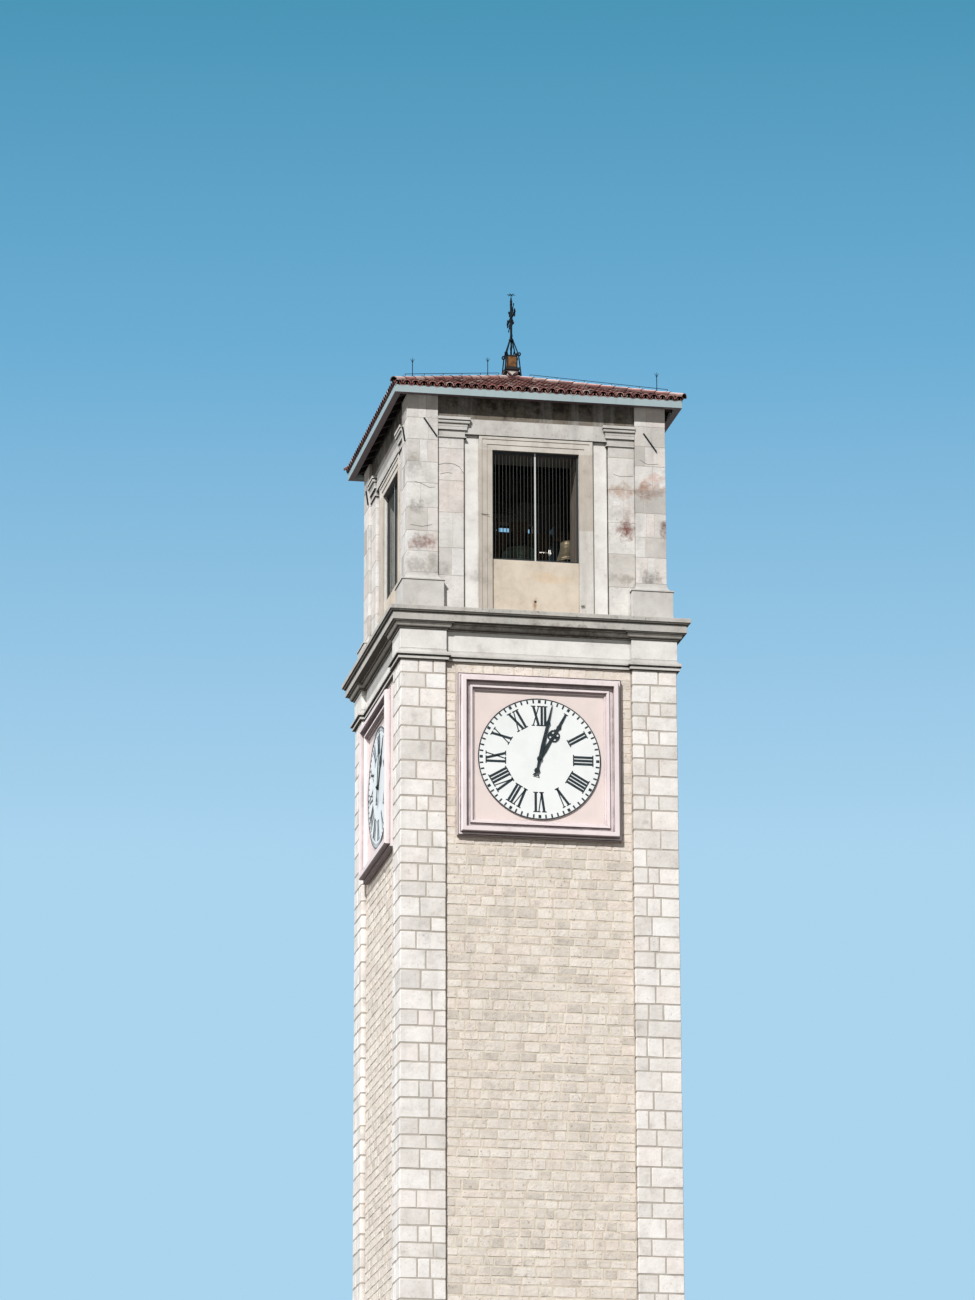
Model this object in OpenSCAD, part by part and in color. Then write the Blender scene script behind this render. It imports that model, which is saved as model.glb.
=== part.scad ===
// Square stone clock and bell tower, with a clock on each side, an open belfry and a pyramid roof.
// Millimetres. The origin is the middle of the base, on the ground, +Z is up and -Y is the front.

/* [Shaft] */
// Width of the tower over its corner piers
tower_w = 5640; // [5200:20:6400]
// Height from the ground to the underside of the architrave
shaft_h = 29850; // [24000:50:30500]
// Width of a corner pier
pier_w = 920; // [700:10:1000]
// How far a corner pier stands out from the walls between
pier_proud = 100; // [60:5:140]
// Thickness of the walls between the piers
wall_t = 800; // [600:10:900]
// Height of the base course
plinth_h = 1200; // [800:50:1600]
// How far the base course stands out from the piers
plinth_proud = 150; // [80:10:200]

/* [Doorway] */
// Clear width of the doorway in the back wall
door_w = 1000; // [800:10:1200]
// Clear height of the doorway
door_h = 2150; // [1950:10:2400]
// Width of the stone frame round the doorway
door_frame_w = 200; // [120:10:260]
// How far the stone frame stands out from the wall
door_frame_proud = 60; // [40:5:90]
// Thickness of the door
door_t = 60; // [40:2:80]
// Depth from the wall face to the door
door_recess = 250; // [150:10:400]

/* [Entablature] */
// Height of the architrave
architrave_h = 225; // [180:5:280]
// How far the architrave stands out from the piers
architrave_out = 90; // [60:5:130]
// Height of the frieze
frieze_h = 400; // [320:10:500]
// Height of the bed moulding under the cornice
bed_h = 140; // [100:5:180]
// How far the bed moulding stands out
bed_out = 140; // [80:5:160]
// Height of the cornice above its bed moulding
cornice_h = 300; // [240:10:360]
// How far the cornice stands out from the piers
cornice_out = 250; // [220:5:320]

/* [Clock] */
// Outer width of the moulded clock surround
clock_w = 3340; // [3260:20:3500]
// Width of the moulding round the clock
clock_mould_w = 350; // [240:10:370]
// How far the clock surround stands out from the wall
clock_proud = 210; // [150:5:240]
// Gap between the architrave and the clock surround
clock_drop = 235; // [200:5:500]
// How far the panel behind the dial stands out from the wall
panel_t = 35; // [20:5:60]
// How far the dial's centre hangs below the middle of its surround
dial_drop = 35; // [0:5:70]
// Diameter of the dial
dial_d = 2440; // [1800:20:2500]
// Thickness of the dial plate
dial_t = 30; // [20:2:40]
// Length of the minute hand from its centre
minute_l = 1180; // [800:10:1200]
// Length of the hour hand from its centre
hour_l = 1060; // [700:10:1080]
// Thickness of a hand
hand_t = 8; // [5:1:12]
// Radius of the spindle that carries the hands
spindle_r = 12; // [10:1:16]
// Radial running clearance of a hand on its spindle
running_gap = 0.05; // [0.02:0.01:0.1]
// Gap between neighbouring moving pieces
moving_gap = 8; // [6:1:12]
// Angle of the minute hands past twelve, in degrees
minute_angle = 13; // [0:1:359]
// Angle of the hour hands past twelve, in degrees
hour_angle = 31; // [0:1:359]

/* [Belfry] */
// Width of the belfry over its corner piers
belfry_w = 5340; // [5000:20:5340]
// Height of the belfry walls above the cornice
belfry_h = 4580; // [4200:20:5000]
// Width of a belfry corner pier
corner_w = 635; // [560:5:680]
// Width of the pilaster beside each pier
pilaster_w = 560; // [460:10:600]
// Width of the plain strip between pilaster and window surround
strip_w = 300; // [200:5:360]
// How far a corner pier stands out from the pilasters
corner_proud = 60; // [40:5:80]
// How far a pilaster stands out from the plain strip
pilaster_proud = 80; // [50:5:100]
// Width of the window surround
surround_w = 280; // [200:5:340]
// How far the window surround stands out from the plain strip
surround_proud = 60; // [40:5:70]
// Height of the parapet under the window
parapet_h = 1200; // [800:10:1300]
// How far the parapet's face stands back from the plain strip
parapet_back = 25; // [10:5:40]
// Thickness of the parapet
parapet_t = 300; // [200:10:400]
// Height of the window opening above the parapet
window_h = 2300; // [1900:10:2400]
// Height of the belfry corner pier's base
base_h = 800; // [500:10:900]
// How far the base of a corner pier flares out
base_flare = 125; // [80:5:160]
// Height of a pilaster capital
capital_h = 420; // [320:10:460]
// How far a capital stands out from its pilaster
capital_out = 105; // [70:5:120]
// How far a capital starts below the plain band over the window
capital_drop = 95; // [60:5:120]
// Length of an iron tie anchor
anchor_l = 470; // [350:10:600]
// Thickness of the belfry floor
floor_t = 200; // [150:10:250]
// Width of the light post in the middle of each window
post_w = 45; // [35:5:60]
// How far the window screens stand back from the plain strip
screen_in = 90; // [60:5:150]
// Width of the bars of the frame round each window screen
screen_bar = 40; // [30:5:50]

/* [Roof] */
// Pitch of the roof in degrees
roof_pitch = 22.5; // [18:0.5:30]
// How far the gutter's outer face stands out from the belfry
overhang = 300; // [240:10:400]
// Height of the gutter
gutter_h = 110; // [80:5:150]
// Width of the gutter
gutter_w = 130; // [100:5:150]
// Thickness of the gutter's metal
gutter_t = 6; // [4:1:10]
// How far the tiles reach past the gutter's outer face
tile_over = 25; // [10:5:40]
// Thickness of the roof boards
deck_t = 30; // [20:2:40]
// Thickness of the tile covering
tile_t = 90; // [60:5:110]
// Radius of a hip tile
hip_tile_r = 100; // [80:5:120]
// Depth of a rafter
rafter_h = 110; // [80:5:130]
// Width of a rafter
rafter_w = 80; // [60:5:100]
// Number of rafters on each side
rafter_n = 11; // [7:2:13]
// Width of the wall plate under the rafters
plate_w = 140; // [100:10:180]

/* [Finial] */
// Width of the box at the foot of the cross
finial_box_w = 200; // [180:10:260]
// Height of the box at the foot of the cross
finial_box_h = 225; // [180:5:260]
// Height of the cross above the roof's point
cross_h = 1800; // [1300:10:1900]
// Length of each arm of the cross
cross_arm = 430; // [300:10:450]
// Thickness of the iron of the cross
cross_bar = 30; // [22:2:40]
// Spread of the iron legs at the roof, from the middle
leg_spread = 185; // [160:5:220]

/* [Bells] */
// Mouth diameter of the large bell
large_bell_d = 1340; // [1100:10:1350]
// Mouth diameter of the small bell
small_bell_d = 600; // [480:10:620]
// Height of the large bell's swing axis above the belfry floor
large_axis_h = 2285; // [2150:5:2330]
// Height of the small bell's swing axis above the belfry floor
small_axis_h = 2395; // [2350:5:2500]
// Radius of the pins that the bells swing on
gudgeon_r = 25; // [20:1:30]
// Width of the bell frame's steel bars
frame_bar = 100; // [80:10:120]
// Thickness of a bell frame's truss
truss_t = 50; // [40:5:60]
// Clearance between the bell frame and the reveals of the windows
frame_gap = 55; // [20:5:120]

/* [Hidden] */
$fn = 48;
// Overlap that only carries a cut clear of a face
over = 1;
half_w = tower_w / 2;
wall_face = half_w - pier_proud;
inner_face = wall_face - wall_t;
bay_half = half_w - pier_w;
corner_at = half_w - pier_w / 2;

architrave_z = shaft_h;
frieze_z = architrave_z + architrave_h;
bed_z = frieze_z + frieze_h;
corona_z = bed_z + bed_h;
ledge_z = corona_z + cornice_h;
// How far the frieze stands out from the piers
frieze_out = 10;

clock_top_z = shaft_h - clock_drop;
clock_z = clock_top_z - clock_w / 2;
dial_z = clock_z - dial_drop;
panel_w = clock_w - 2 * clock_mould_w;
dial_face = wall_face + panel_t + dial_t;
hour_plane = dial_face + moving_gap;
hub_t = hand_t + 4;
minute_plane = hour_plane + hub_t + moving_gap;
hub_r = 55;
cap_t = 10;

belfry_half = belfry_w / 2;
belfry_inner = belfry_half - corner_w;
pilaster_face = belfry_half - corner_proud;
strip_face = pilaster_face - pilaster_proud;
window_half = belfry_inner - pilaster_w - strip_w - surround_w;
window_z = ledge_z + parapet_h;
window_top_z = window_z + window_h;
// Plain margin between the window surround and the band over it
band_margin = 10;
bay_head_z = window_top_z + surround_w + band_margin;
capital_z = bay_head_z - capital_drop;
head_z = capital_z + capital_h;
wall_top_z = ledge_z + belfry_h;

slope = tan(roof_pitch);
plate_h = 100;
plate_out = belfry_half - 40;
eave_half = belfry_half + overhang;
deck_half = eave_half - gutter_w;
// Hairline gap between sloping layers of the roof
seat_gap = 0.3;
// Gap between the roof's four slopes where they meet at the hips
mitre_gap = 1;
// Height of the roof boards' underside over the middle of the tower
deck_apex = wall_top_z + rafter_h / cos(roof_pitch) + belfry_half * slope;
deck_rise = deck_t / cos(roof_pitch);
tile_rise = tile_t / cos(roof_pitch);
tile_bed = deck_apex + deck_rise + seat_gap;
roof_point = tile_bed + tile_rise;
rafter_apex = deck_apex - seat_gap;
tile_half = eave_half + tile_over;
// Gap between the gutter's rim and the tiles over it
gutter_gap = 8;
gutter_top_z = tile_bed - eave_half * slope - gutter_gap;
gutter_z = gutter_top_z - gutter_h;
// How far the last hip tile reaches past the corner of the eaves
hip_over = 70;
hip_gap = 60;

// Half width of the stone under the finial, and how far it reaches down to seat on the tiles
finial_core = finial_box_w * 0.55;
finial_foot = finial_core * slope + 15;
finial_stone_h = 210;
finial_plate_h = 75;
stone_z = roof_point - finial_foot;
plate_z = roof_point + finial_stone_h;
box_z = plate_z + finial_plate_h;
box_top_z = box_z + finial_box_h;
leg_foot_z = roof_point - leg_spread * slope;
leg_top_z = box_top_z + 340;

floor_z = ledge_z + floor_t;
truss_x = [-575, 850, 1550];
// How far the reveals' inner faces are from the middle of the tower
reveal_in = truss_x[2] + truss_t / 2 + frame_gap;
bell_x = [(truss_x[0] + truss_x[1]) / 2, (truss_x[1] + truss_x[2]) / 2];
head_block = 200;
frame_foot = 850;
large_head = 160;
small_head = 120;
large_span = truss_x[1] - truss_x[0] - truss_t - 2 * moving_gap;
small_span = truss_x[2] - truss_x[1] - truss_t - 2 * moving_gap;

// Places its children, drawn at the front, on all four sides
module on_each_side() {
  for (turn = [0:90:270]) rotate([0, 0, turn]) children();
}

// Places its children, drawn round the axis, on each corner
module on_each_corner(at) {
  for (turn = [0:90:270]) rotate([0, 0, turn]) translate([at, -at, 0]) children();
}

// A block from low corner to high corner
module block(low, high) {
  translate(low) cube(high - low);
}

// Points of a quarter round from one point to another, bulging out or hollow
function quarter(from, to, hollow = false, steps = 6) = [
  for (i = [0:steps]) let (a = 90 * i / steps)
    hollow
      ? [from[0] + (to[0] - from[0]) * (1 - cos(a)), from[1] + (to[1] - from[1]) * sin(a)]
      : [from[0] + (to[0] - from[0]) * sin(a), from[1] + (to[1] - from[1]) * (1 - cos(a))]
];

// Points of an S curve from one point to another
function cyma(from, to) = let (middle = (from + to) / 2)
  concat(quarter(from, middle, true, 4), quarter(middle, to, false, 4));

// A course of moulding round a square plan, mitred at its corners.
// The profile is a list of [how far out, height] from the bottom up.
module square_course(half, profile) {
  last = len(profile) - 1;
  outline = concat(
    [for (p = profile) [half + p[0], p[1]]],
    [for (i = [last:-1:0]) [-half - profile[i][0], profile[i][1]]]
  );
  length = 3 * half;
  intersection() {
    rotate([90, 0, 0]) linear_extrude(height = length, center = true) polygon(outline);
    rotate([90, 0, 90]) linear_extrude(height = length, center = true) polygon(outline);
  }
}

// The same course broken forward over the corner piers
module broken_course(profile) {
  square_course(wall_face, profile);
  on_each_corner(corner_at) square_course(pier_w / 2, profile);
}

// Takes the tower's hollow out of its children
module hollow(half, low, high) {
  difference() {
    children();
    block([-half, -half, low - over], [half, half, high + over]);
  }
}

// Shaft

module base_plinth() {
  chamfer = 60;
  profile = [
    [plinth_proud, 0],
    [plinth_proud, plinth_h - chamfer],
    [plinth_proud - chamfer, plinth_h],
  ];
  color("gainsboro")
  difference() {
    hollow(inner_face, 0, plinth_h) square_course(half_w, profile);
    translate([-door_w / 2 - door_frame_w, 0, -over])
      cube([door_w + 2 * door_frame_w, tower_w, plinth_h + 2 * over]);
  }
}

module shaft_corner_piers() {
  color("whitesmoke")
  on_each_corner(corner_at)
    block([-pier_w / 2, -pier_w / 2, plinth_h], [pier_w / 2, pier_w / 2, shaft_h]);
}

module bay_wall() {
  block([-bay_half, -wall_face, plinth_h], [bay_half, -inner_face, shaft_h]);
}

module shaft_wall(turn) {
  color("antiquewhite") rotate([0, 0, turn]) bay_wall();
}

module shaft_back_wall() {
  gate_half = door_w / 2 + door_frame_w;
  color("antiquewhite")
  difference() {
    rotate([0, 0, 180]) bay_wall();
    block([-gate_half, 0, 0], [gate_half, half_w, door_h + door_frame_w]);
  }
}

module door_surround() {
  top = door_h + door_frame_w;
  outer = door_w / 2 + door_frame_w;
  color("silver")
  difference() {
    block([-outer, inner_face, 0], [outer, wall_face + door_frame_proud, top]);
    block([-door_w / 2, inner_face - over, -over], [door_w / 2, half_w, door_h]);
  }
}

module entrance_door() {
  face = wall_face - door_recess;
  color("saddlebrown")
    block([-door_w / 2, face - door_t, 0], [door_w / 2, face, door_h]);
}

// Entablature

module architrave() {
  fillet = architrave_out * 0.6;
  groove = architrave_out * 0.28;
  profile = concat(
    [
      [0, architrave_z],
      [fillet, architrave_z],
      [fillet, architrave_z + architrave_h * 0.22],
      [groove, architrave_z + architrave_h * 0.22],
      [groove, architrave_z + architrave_h * 0.36],
      [architrave_out, architrave_z + architrave_h * 0.36],
      [architrave_out, architrave_z + architrave_h * 0.45],
    ],
    cyma([architrave_out * 0.94, architrave_z + architrave_h * 0.45], [frieze_out, frieze_z])
  );
  color("whitesmoke")
  hollow(inner_face, architrave_z, frieze_z) broken_course(profile);
}

module frieze() {
  color("whitesmoke")
  hollow(inner_face, frieze_z, bed_z)
    broken_course([[frieze_out, frieze_z], [frieze_out, bed_z]]);
}

module cornice() {
  fillet = bed_h * 0.15;
  step = bed_out * 0.25;
  bed = concat(
    [[step, bed_z], [step, bed_z + fillet]],
    quarter([step * 1.3, bed_z + fillet], [bed_out - step, corona_z - fillet]),
    [[bed_out, corona_z - fillet], [bed_out, corona_z]]
  );
  corona_out = cornice_out * 0.73;
  corona_top = corona_z + cornice_h * 0.42;
  cyma_z = corona_z + cornice_h * 0.46;
  lip_z = corona_z + cornice_h * 0.62;
  slab_z = corona_z + cornice_h * 0.66;
  edge_z = ledge_z - 15;
  crown = concat(
    [[corona_out, corona_z], [corona_out, corona_top], [corona_out - 12, corona_top]],
    cyma([corona_out - 12, cyma_z], [cornice_out - 35, lip_z]),
    [
      [cornice_out - 35, slab_z],
      [cornice_out, slab_z],
      [cornice_out, edge_z],
      [cornice_out - 60, ledge_z],
    ]
  );
  color("lightgray")
  hollow(inner_face, bed_z, ledge_z) {
    broken_course(bed);
    square_course(half_w, crown);
  }
}

// Clock

// Nested square frames from the outside in: [inset from the outside, height of the face]
module moulded_frame(width, mould_w, steps) {
  last = len(steps) - 1;
  for (i = [0:last]) {
    inner = i < last ? steps[i + 1][0] : mould_w;
    linear_extrude(height = steps[i][1])
    difference() {
      square(width - 2 * steps[i][0], center = true);
      square(width - 2 * inner, center = true);
    }
  }
}

// Stands its children, drawn flat, upright on the front wall's face at a height
module on_wall(face, z) {
  translate([0, -face, z]) rotate([90, 0, 0]) children();
}

module clock_surrounds() {
  steps = [
    [0, clock_proud * 0.48],
    [clock_mould_w * 0.15, clock_proud * 0.38],
    [clock_mould_w * 0.2, clock_proud * 0.9],
    [clock_mould_w * 0.23, clock_proud],
    [clock_mould_w * 0.475, panel_t + 40],
    [clock_mould_w * 0.53, panel_t + 54],
    [clock_mould_w * 0.87, panel_t + 30],
  ];
  color("rosybrown")
  on_each_side() on_wall(wall_face, clock_z) moulded_frame(clock_w, clock_mould_w, steps);
}

module clock_panels() {
  color("mistyrose")
  on_each_side() on_wall(wall_face, clock_z)
    linear_extrude(height = panel_t) square(panel_w, center = true);
}

module clock_dials() {
  color("azure")
  on_each_side() on_wall(wall_face + panel_t, dial_z)
    difference() {
      cylinder(h = dial_t, d = dial_d, $fn = 96);
      translate([0, 0, -over]) cylinder(h = dial_t + 2 * over, r = spindle_r);
    }
}

module hand_spindles() {
  start = wall_face + panel_t;
  cap_at = minute_plane + hub_t + moving_gap;
  color("dimgray")
  on_each_side() on_wall(start, dial_z) {
    cylinder(h = cap_at - start, r = spindle_r);
    translate([0, 0, cap_at - start]) cylinder(h = cap_t, r = 2 * spindle_r);
  }
}

// A hand's plate and boss with the bore it turns on
module hand(plane, angle) {
  on_wall(plane, dial_z) rotate([0, 0, -angle])
  difference() {
    union() {
      linear_extrude(height = hand_t) children();
      cylinder(h = hub_t, r = hub_r);
    }
    translate([0, 0, -over]) cylinder(h = hub_t + 2 * over, r = spindle_r + running_gap);
  }
}

module minute_hand(turn) {
  root = 34;
  tip = 8;
  tail = 350;
  color("darkslategray")
  rotate([0, 0, turn]) hand(minute_plane, minute_angle) {
    polygon([[-root, 0], [-tip, minute_l - 30], [0, minute_l], [tip, minute_l - 30], [root, 0]]);
    polygon([[-root, 0], [-14, -tail * 0.55], [14, -tail * 0.55], [root, 0]]);
    translate([0, -tail * 0.72]) difference() {
      circle(r = 62);
      circle(r = 34);
    }
    translate([0, -tail]) difference() {
      circle(r = 70);
      translate([0, -45]) circle(r = 70);
    }
  }
}

module hour_hand(turn) {
  root = 40;
  rose_at = hour_l * 0.53;
  rose_r = 115;
  color("darkslategray")
  rotate([0, 0, turn]) hand(hour_plane, hour_angle) {
    polygon([[-root, 0], [-22, rose_at], [22, rose_at], [root, 0]]);
    translate([0, rose_at]) difference() {
      circle(r = rose_r);
      for (a = [45:90:315]) rotate(a) translate([rose_r * 0.5, 0]) circle(r = rose_r * 0.27);
    }
    polygon([[-24, rose_at], [-24, hour_l * 0.75], [0, hour_l], [24, hour_l * 0.75], [24, rose_at]]);
    translate([0, hour_l * 0.75]) circle(r = 48);
  }
}

// Belfry

module belfry_floor() {
  color("tan")
    block([-belfry_inner, -belfry_inner, ledge_z], [belfry_inner, belfry_inner, floor_z]);
}

module belfry_pier_bases() {
  top = ledge_z + base_h;
  pier_half = corner_w / 2;
  lip = base_flare * 0.16;
  lip_h = 30;
  block_top = top - base_h * 0.2;
  profile = concat(
    [
      [base_flare - lip, ledge_z],
      [base_flare - lip, block_top - lip_h],
      [base_flare, block_top - lip_h],
      [base_flare, block_top],
    ],
    quarter([base_flare * 0.9, block_top], [0, top])
  );
  reach = corner_w + 2 * base_flare;
  color("gainsboro")
  on_each_corner(belfry_half - pier_half)
  difference() {
    square_course(pier_half, profile);
    translate([-pier_half - reach, corner_proud - pier_half, ledge_z - over])
      cube([reach, reach, base_h + 2 * over]);
    translate([-corner_proud + pier_half - reach, pier_half, ledge_z - over])
      cube([reach, reach, base_h + 2 * over]);
  }
}

module belfry_corner_piers() {
  pier_half = corner_w / 2;
  color("whitesmoke")
  on_each_corner(belfry_half - pier_half)
    block([-pier_half, -pier_half, ledge_z + base_h], [pier_half, pier_half, wall_top_z]);
}

// Places its children, drawn at the front's right half, on both halves of all four sides
module on_each_half() {
  on_each_side() {
    children();
    mirror([1, 0, 0]) children();
  }
}

module belfry_pilasters() {
  color("whitesmoke")
  on_each_half()
    block([belfry_inner - pilaster_w, -pilaster_face, ledge_z], [belfry_inner, -belfry_inner, head_z]);
}

module pilaster_capitals() {
  edge = belfry_inner - pilaster_w;
  // Shares of the capital's projection and height, from the astragal up to the slab
  shares = concat(
    [[0, 0], [0.3, 0], [0.3, 0.06], [0.05, 0.06], [0.05, 0.38], [0.43, 0.38], [0.43, 0.55]],
    cyma([0.48, 0.55], [0.9, 0.8]),
    [[0.7, 0.8], [0.7, 0.86], [1, 0.86], [1, 1], [0, 1]]
  );
  profile = [for (s = shares) [-capital_out * s[0], capital_z + capital_h * s[1]]];
  module side_profile() {
    translate([edge, 0, 0]) rotate([90, 0, 0]) linear_extrude(height = belfry_half + capital_out)
      polygon(concat(profile, [[pilaster_w, head_z], [pilaster_w, capital_z]]));
  }
  color("gainsboro")
  on_each_half() {
    intersection() {
      translate([0, -pilaster_face, 0]) rotate([90, 0, 90])
        linear_extrude(height = belfry_inner) polygon(profile);
      side_profile();
    }
    // The return back to the plain strip, under the band over the window
    intersection() {
      block([0, -pilaster_face, capital_z], [edge, -strip_face, bay_head_z]);
      side_profile();
    }
  }
}

module belfry_jambs() {
  edge = belfry_inner - pilaster_w;
  color("antiquewhite")
  on_each_half() {
    block([window_half, -strip_face, ledge_z], [edge, -belfry_inner, bay_head_z]);
    // The reveal behind it, deeper than the wall
    block([window_half, -belfry_inner, floor_z], [edge, -reveal_in, bay_head_z]);
  }
}

module belfry_lintels() {
  bay = belfry_inner - pilaster_w;
  color("whitesmoke")
  on_each_side() {
    block([-window_half, -strip_face, window_top_z], [window_half, -reveal_in, bay_head_z]);
    block([-bay, -pilaster_face, bay_head_z], [bay, -belfry_inner, head_z]);
    block([-belfry_inner, -pilaster_face, head_z], [belfry_inner, -belfry_inner, wall_top_z]);
  }
}

module window_surrounds() {
  top = window_top_z + surround_w;
  steps = [[0, 1], [0.22, 0.75], [0.6, 0.5]];
  color("wheat")
  on_each_side() on_wall(strip_face, 0)
  for (i = [0:2]) {
    outer = window_half + surround_w * (1 - steps[i][0]);
    inner = i < 2 ? window_half + surround_w * (1 - steps[i + 1][0]) : window_half;
    linear_extrude(height = surround_proud * steps[i][1])
    difference() {
      translate([-outer, ledge_z]) square([2 * outer, window_top_z + outer - window_half - ledge_z]);
      translate([-inner, ledge_z - over])
        square([2 * inner, window_top_z + inner - window_half - ledge_z + over]);
    }
  }
}

module parapets() {
  color("burlywood")
  on_each_side()
    block([-window_half, parapet_back - strip_face, ledge_z], [window_half, parapet_t - strip_face, window_z]);
}

module screen_frames() {
  depth = 30;
  color("white")
  on_each_side() on_wall(strip_face - screen_in, 0)
  linear_extrude(height = depth) {
    difference() {
      translate([-window_half, window_z]) square([2 * window_half, window_h]);
      translate([screen_bar - window_half, window_z + screen_bar])
        square([2 * (window_half - screen_bar), window_h - 2 * screen_bar]);
    }
    translate([-post_w / 2, window_z + screen_bar / 2]) square([post_w, window_h - screen_bar]);
  }
}

module tie_anchors() {
  bar_w = 24;
  bar_t = 30;
  // How far across each pier, and how far below the top of the walls
  spots = [[-belfry_inner - corner_w * 0.25, -710], [belfry_inner + corner_w * 0.5, -780]];
  color("dimgray")
  on_each_side() on_wall(belfry_half, wall_top_z)
    for (spot = spots) translate(spot) rotate([0, 0, -55])
      linear_extrude(height = bar_t) square([anchor_l, bar_w], center = true);
}

// Bells

module gudgeon_hole(x, h) {
  translate([x, 0, floor_z + h]) rotate([0, 90, 0])
    cylinder(h = truss_t + 2 * over, r = gudgeon_r + running_gap, center = true);
}

// Outline of a bearing block round a swing axis
module bearing_outline(axis_h) {
  translate([-head_block, axis_h - head_block]) square([2 * head_block, 1.5 * head_block]);
}

// Outline of an A-shaped truss of the bell frame, with the swing axis at its head
module truss_outline(axis_h) {
  foot = frame_foot + frame_bar;
  leg_w = frame_bar * 1.1;
  leg_top = axis_h - head_block / 2;
  translate([-foot, 0]) square([2 * foot, frame_bar]);
  for (side = [-1, 1])
    polygon([
      [side * frame_foot, 0],
      [side * (frame_foot - leg_w), 0],
      [side * (head_block - leg_w), leg_top],
      [side * head_block, leg_top],
    ]);
  bearing_outline(axis_h);
}

// Stands its children, drawn flat, across the tower at x on the belfry floor
module truss_at(x) {
  translate([x - truss_t / 2, 0, floor_z]) rotate([90, 0, 90])
    linear_extrude(height = truss_t) children();
}

module bell_frame() {
  color("lightsteelblue")
  difference() {
    union() {
      truss_at(truss_x[0]) truss_outline(large_axis_h);
      truss_at(truss_x[1]) {
        truss_outline(large_axis_h);
        bearing_outline(small_axis_h);
      }
      truss_at(truss_x[2]) truss_outline(small_axis_h);
      for (side = [-1, 1])
        block(
          [truss_x[0], side * frame_foot - frame_bar / 2, floor_z],
          [truss_x[2], side * frame_foot + frame_bar / 2, floor_z + frame_bar]
        );
    }
    gudgeon_hole(truss_x[0], large_axis_h);
    gudgeon_hole(truss_x[1], large_axis_h);
    gudgeon_hole(truss_x[1], small_axis_h);
    gudgeon_hole(truss_x[2], small_axis_h);
  }
}

// Outer radius of a bell at a share of its height, from mouth to shoulder
function bell_r(d, t) = d / 2 * (0.58 + 0.42 * pow(1 - t, 2.4));

module bell(d, x, axis_h, head_h) {
  height = d * 0.82;
  wall = d * 0.06;
  top = floor_z + axis_h - head_h;
  outer = concat(
    [for (t = [0:0.1:0.9]) [bell_r(d, t), t * height]],
    quarter([bell_r(d, 0.9), height * 0.9], [d * 0.12, height])
  );
  inner = [for (t = [0.9:-0.1:0]) [bell_r(d, t) - wall, t * height]];
  translate([x, 0, top - height])
  rotate_extrude() polygon(concat(outer, [[0, height], [0, height - wall]], inner));
}

module headstock(x, axis_h, length, head_h) {
  at = floor_z + axis_h;
  depth = head_h * 0.8;
  block([x - length / 2, -depth / 2, at - head_h], [x + length / 2, depth / 2, at + head_h / 2]);
  translate([x, 0, at]) rotate([0, 90, 0])
    cylinder(h = length + 2 * moving_gap + 1.6 * truss_t, r = gudgeon_r, center = true);
}

module large_bell() {
  color("darkgoldenrod") bell(large_bell_d, bell_x[0], large_axis_h, large_head);
}

module large_bell_headstock() {
  color("sienna") headstock(bell_x[0], large_axis_h, large_span, large_head);
}

module small_bell() {
  color("darkgoldenrod") bell(small_bell_d, bell_x[1], small_axis_h, small_head);
}

module small_bell_headstock() {
  color("sienna") headstock(bell_x[1], small_axis_h, small_span, small_head);
}

// Roof

// A pyramid with its faces at the roof's pitch, from a point down to a square of half a width
module roof_pyramid(point_z, half) {
  foot = point_z - half * slope;
  outline = [[-half, foot], [half, foot], [0, point_z]];
  length = 2 * half + 2 * over;
  intersection() {
    rotate([90, 0, 0]) linear_extrude(height = length, center = true) polygon(outline);
    rotate([90, 0, 90]) linear_extrude(height = length, center = true) polygon(outline);
  }
}

// A layer of roof between two parallel slopes, one piece a side, mitred with a hairline gap at the hips
module roof_layer(under_z, rise, half) {
  on_each_side()
  intersection() {
    rotate([90, 0, 90]) linear_extrude(height = 2 * half, center = true)
      polygon([
        [-half, under_z - half * slope],
        [-half, under_z + rise - half * slope],
        [0, under_z + rise],
        [0, under_z],
      ]);
    linear_extrude(height = 2 * under_z)
      polygon([[0, -mitre_gap], [half, -half - mitre_gap], [-half, -half - mitre_gap]]);
  }
}

module wall_plate_ring() {
  difference() {
    block([-plate_out, -plate_out, wall_top_z], [plate_out, plate_out, wall_top_z + plate_h]);
    hole = plate_out - plate_w;
    block([-hole, -hole, wall_top_z - over], [hole, hole, wall_top_z + plate_h + over]);
  }
}

module wall_plate() {
  color("peru") wall_plate_ring();
}

// One rafter at the front, from the eaves to the hip
module rafter(x) {
  top = abs(x) + hip_gap + rafter_w / 2;
  eave = deck_half;
  deep = rafter_h / cos(roof_pitch);
  translate([x - rafter_w / 2, 0, 0]) rotate([90, 0, 90])
    linear_extrude(height = rafter_w)
    polygon([
      [-eave, rafter_apex - eave * slope - deep],
      [-eave, rafter_apex - eave * slope],
      [-top, rafter_apex - top * slope],
      [-top, rafter_apex - top * slope - deep],
    ]);
}

module rafters() {
  pitch = 2 * (belfry_half - rafter_w) / (rafter_n - 1);
  color("saddlebrown")
  difference() {
    on_each_side()
      for (i = [0:rafter_n - 1]) rafter((i - (rafter_n - 1) / 2) * pitch);
    wall_plate_ring();
  }
}

module hip_rafters() {
  deep = rafter_h / cos(roof_pitch);
  color("saddlebrown")
  difference() {
    intersection() {
      roof_pyramid(rafter_apex, deck_half);
      for (turn = [45, 135]) rotate([0, 0, turn])
        block([-2 * deck_half, -hip_gap / 2, 0], [2 * deck_half, hip_gap / 2, deck_apex]);
    }
    roof_pyramid(rafter_apex - deep * 1.4, 2 * deck_half);
    wall_plate_ring();
  }
}

module roof_boards() {
  color("peru") roof_layer(deck_apex, deck_rise, deck_half);
}

module roof_tiles() {
  color("indianred") roof_layer(tile_bed, tile_rise, tile_half);
}

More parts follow.
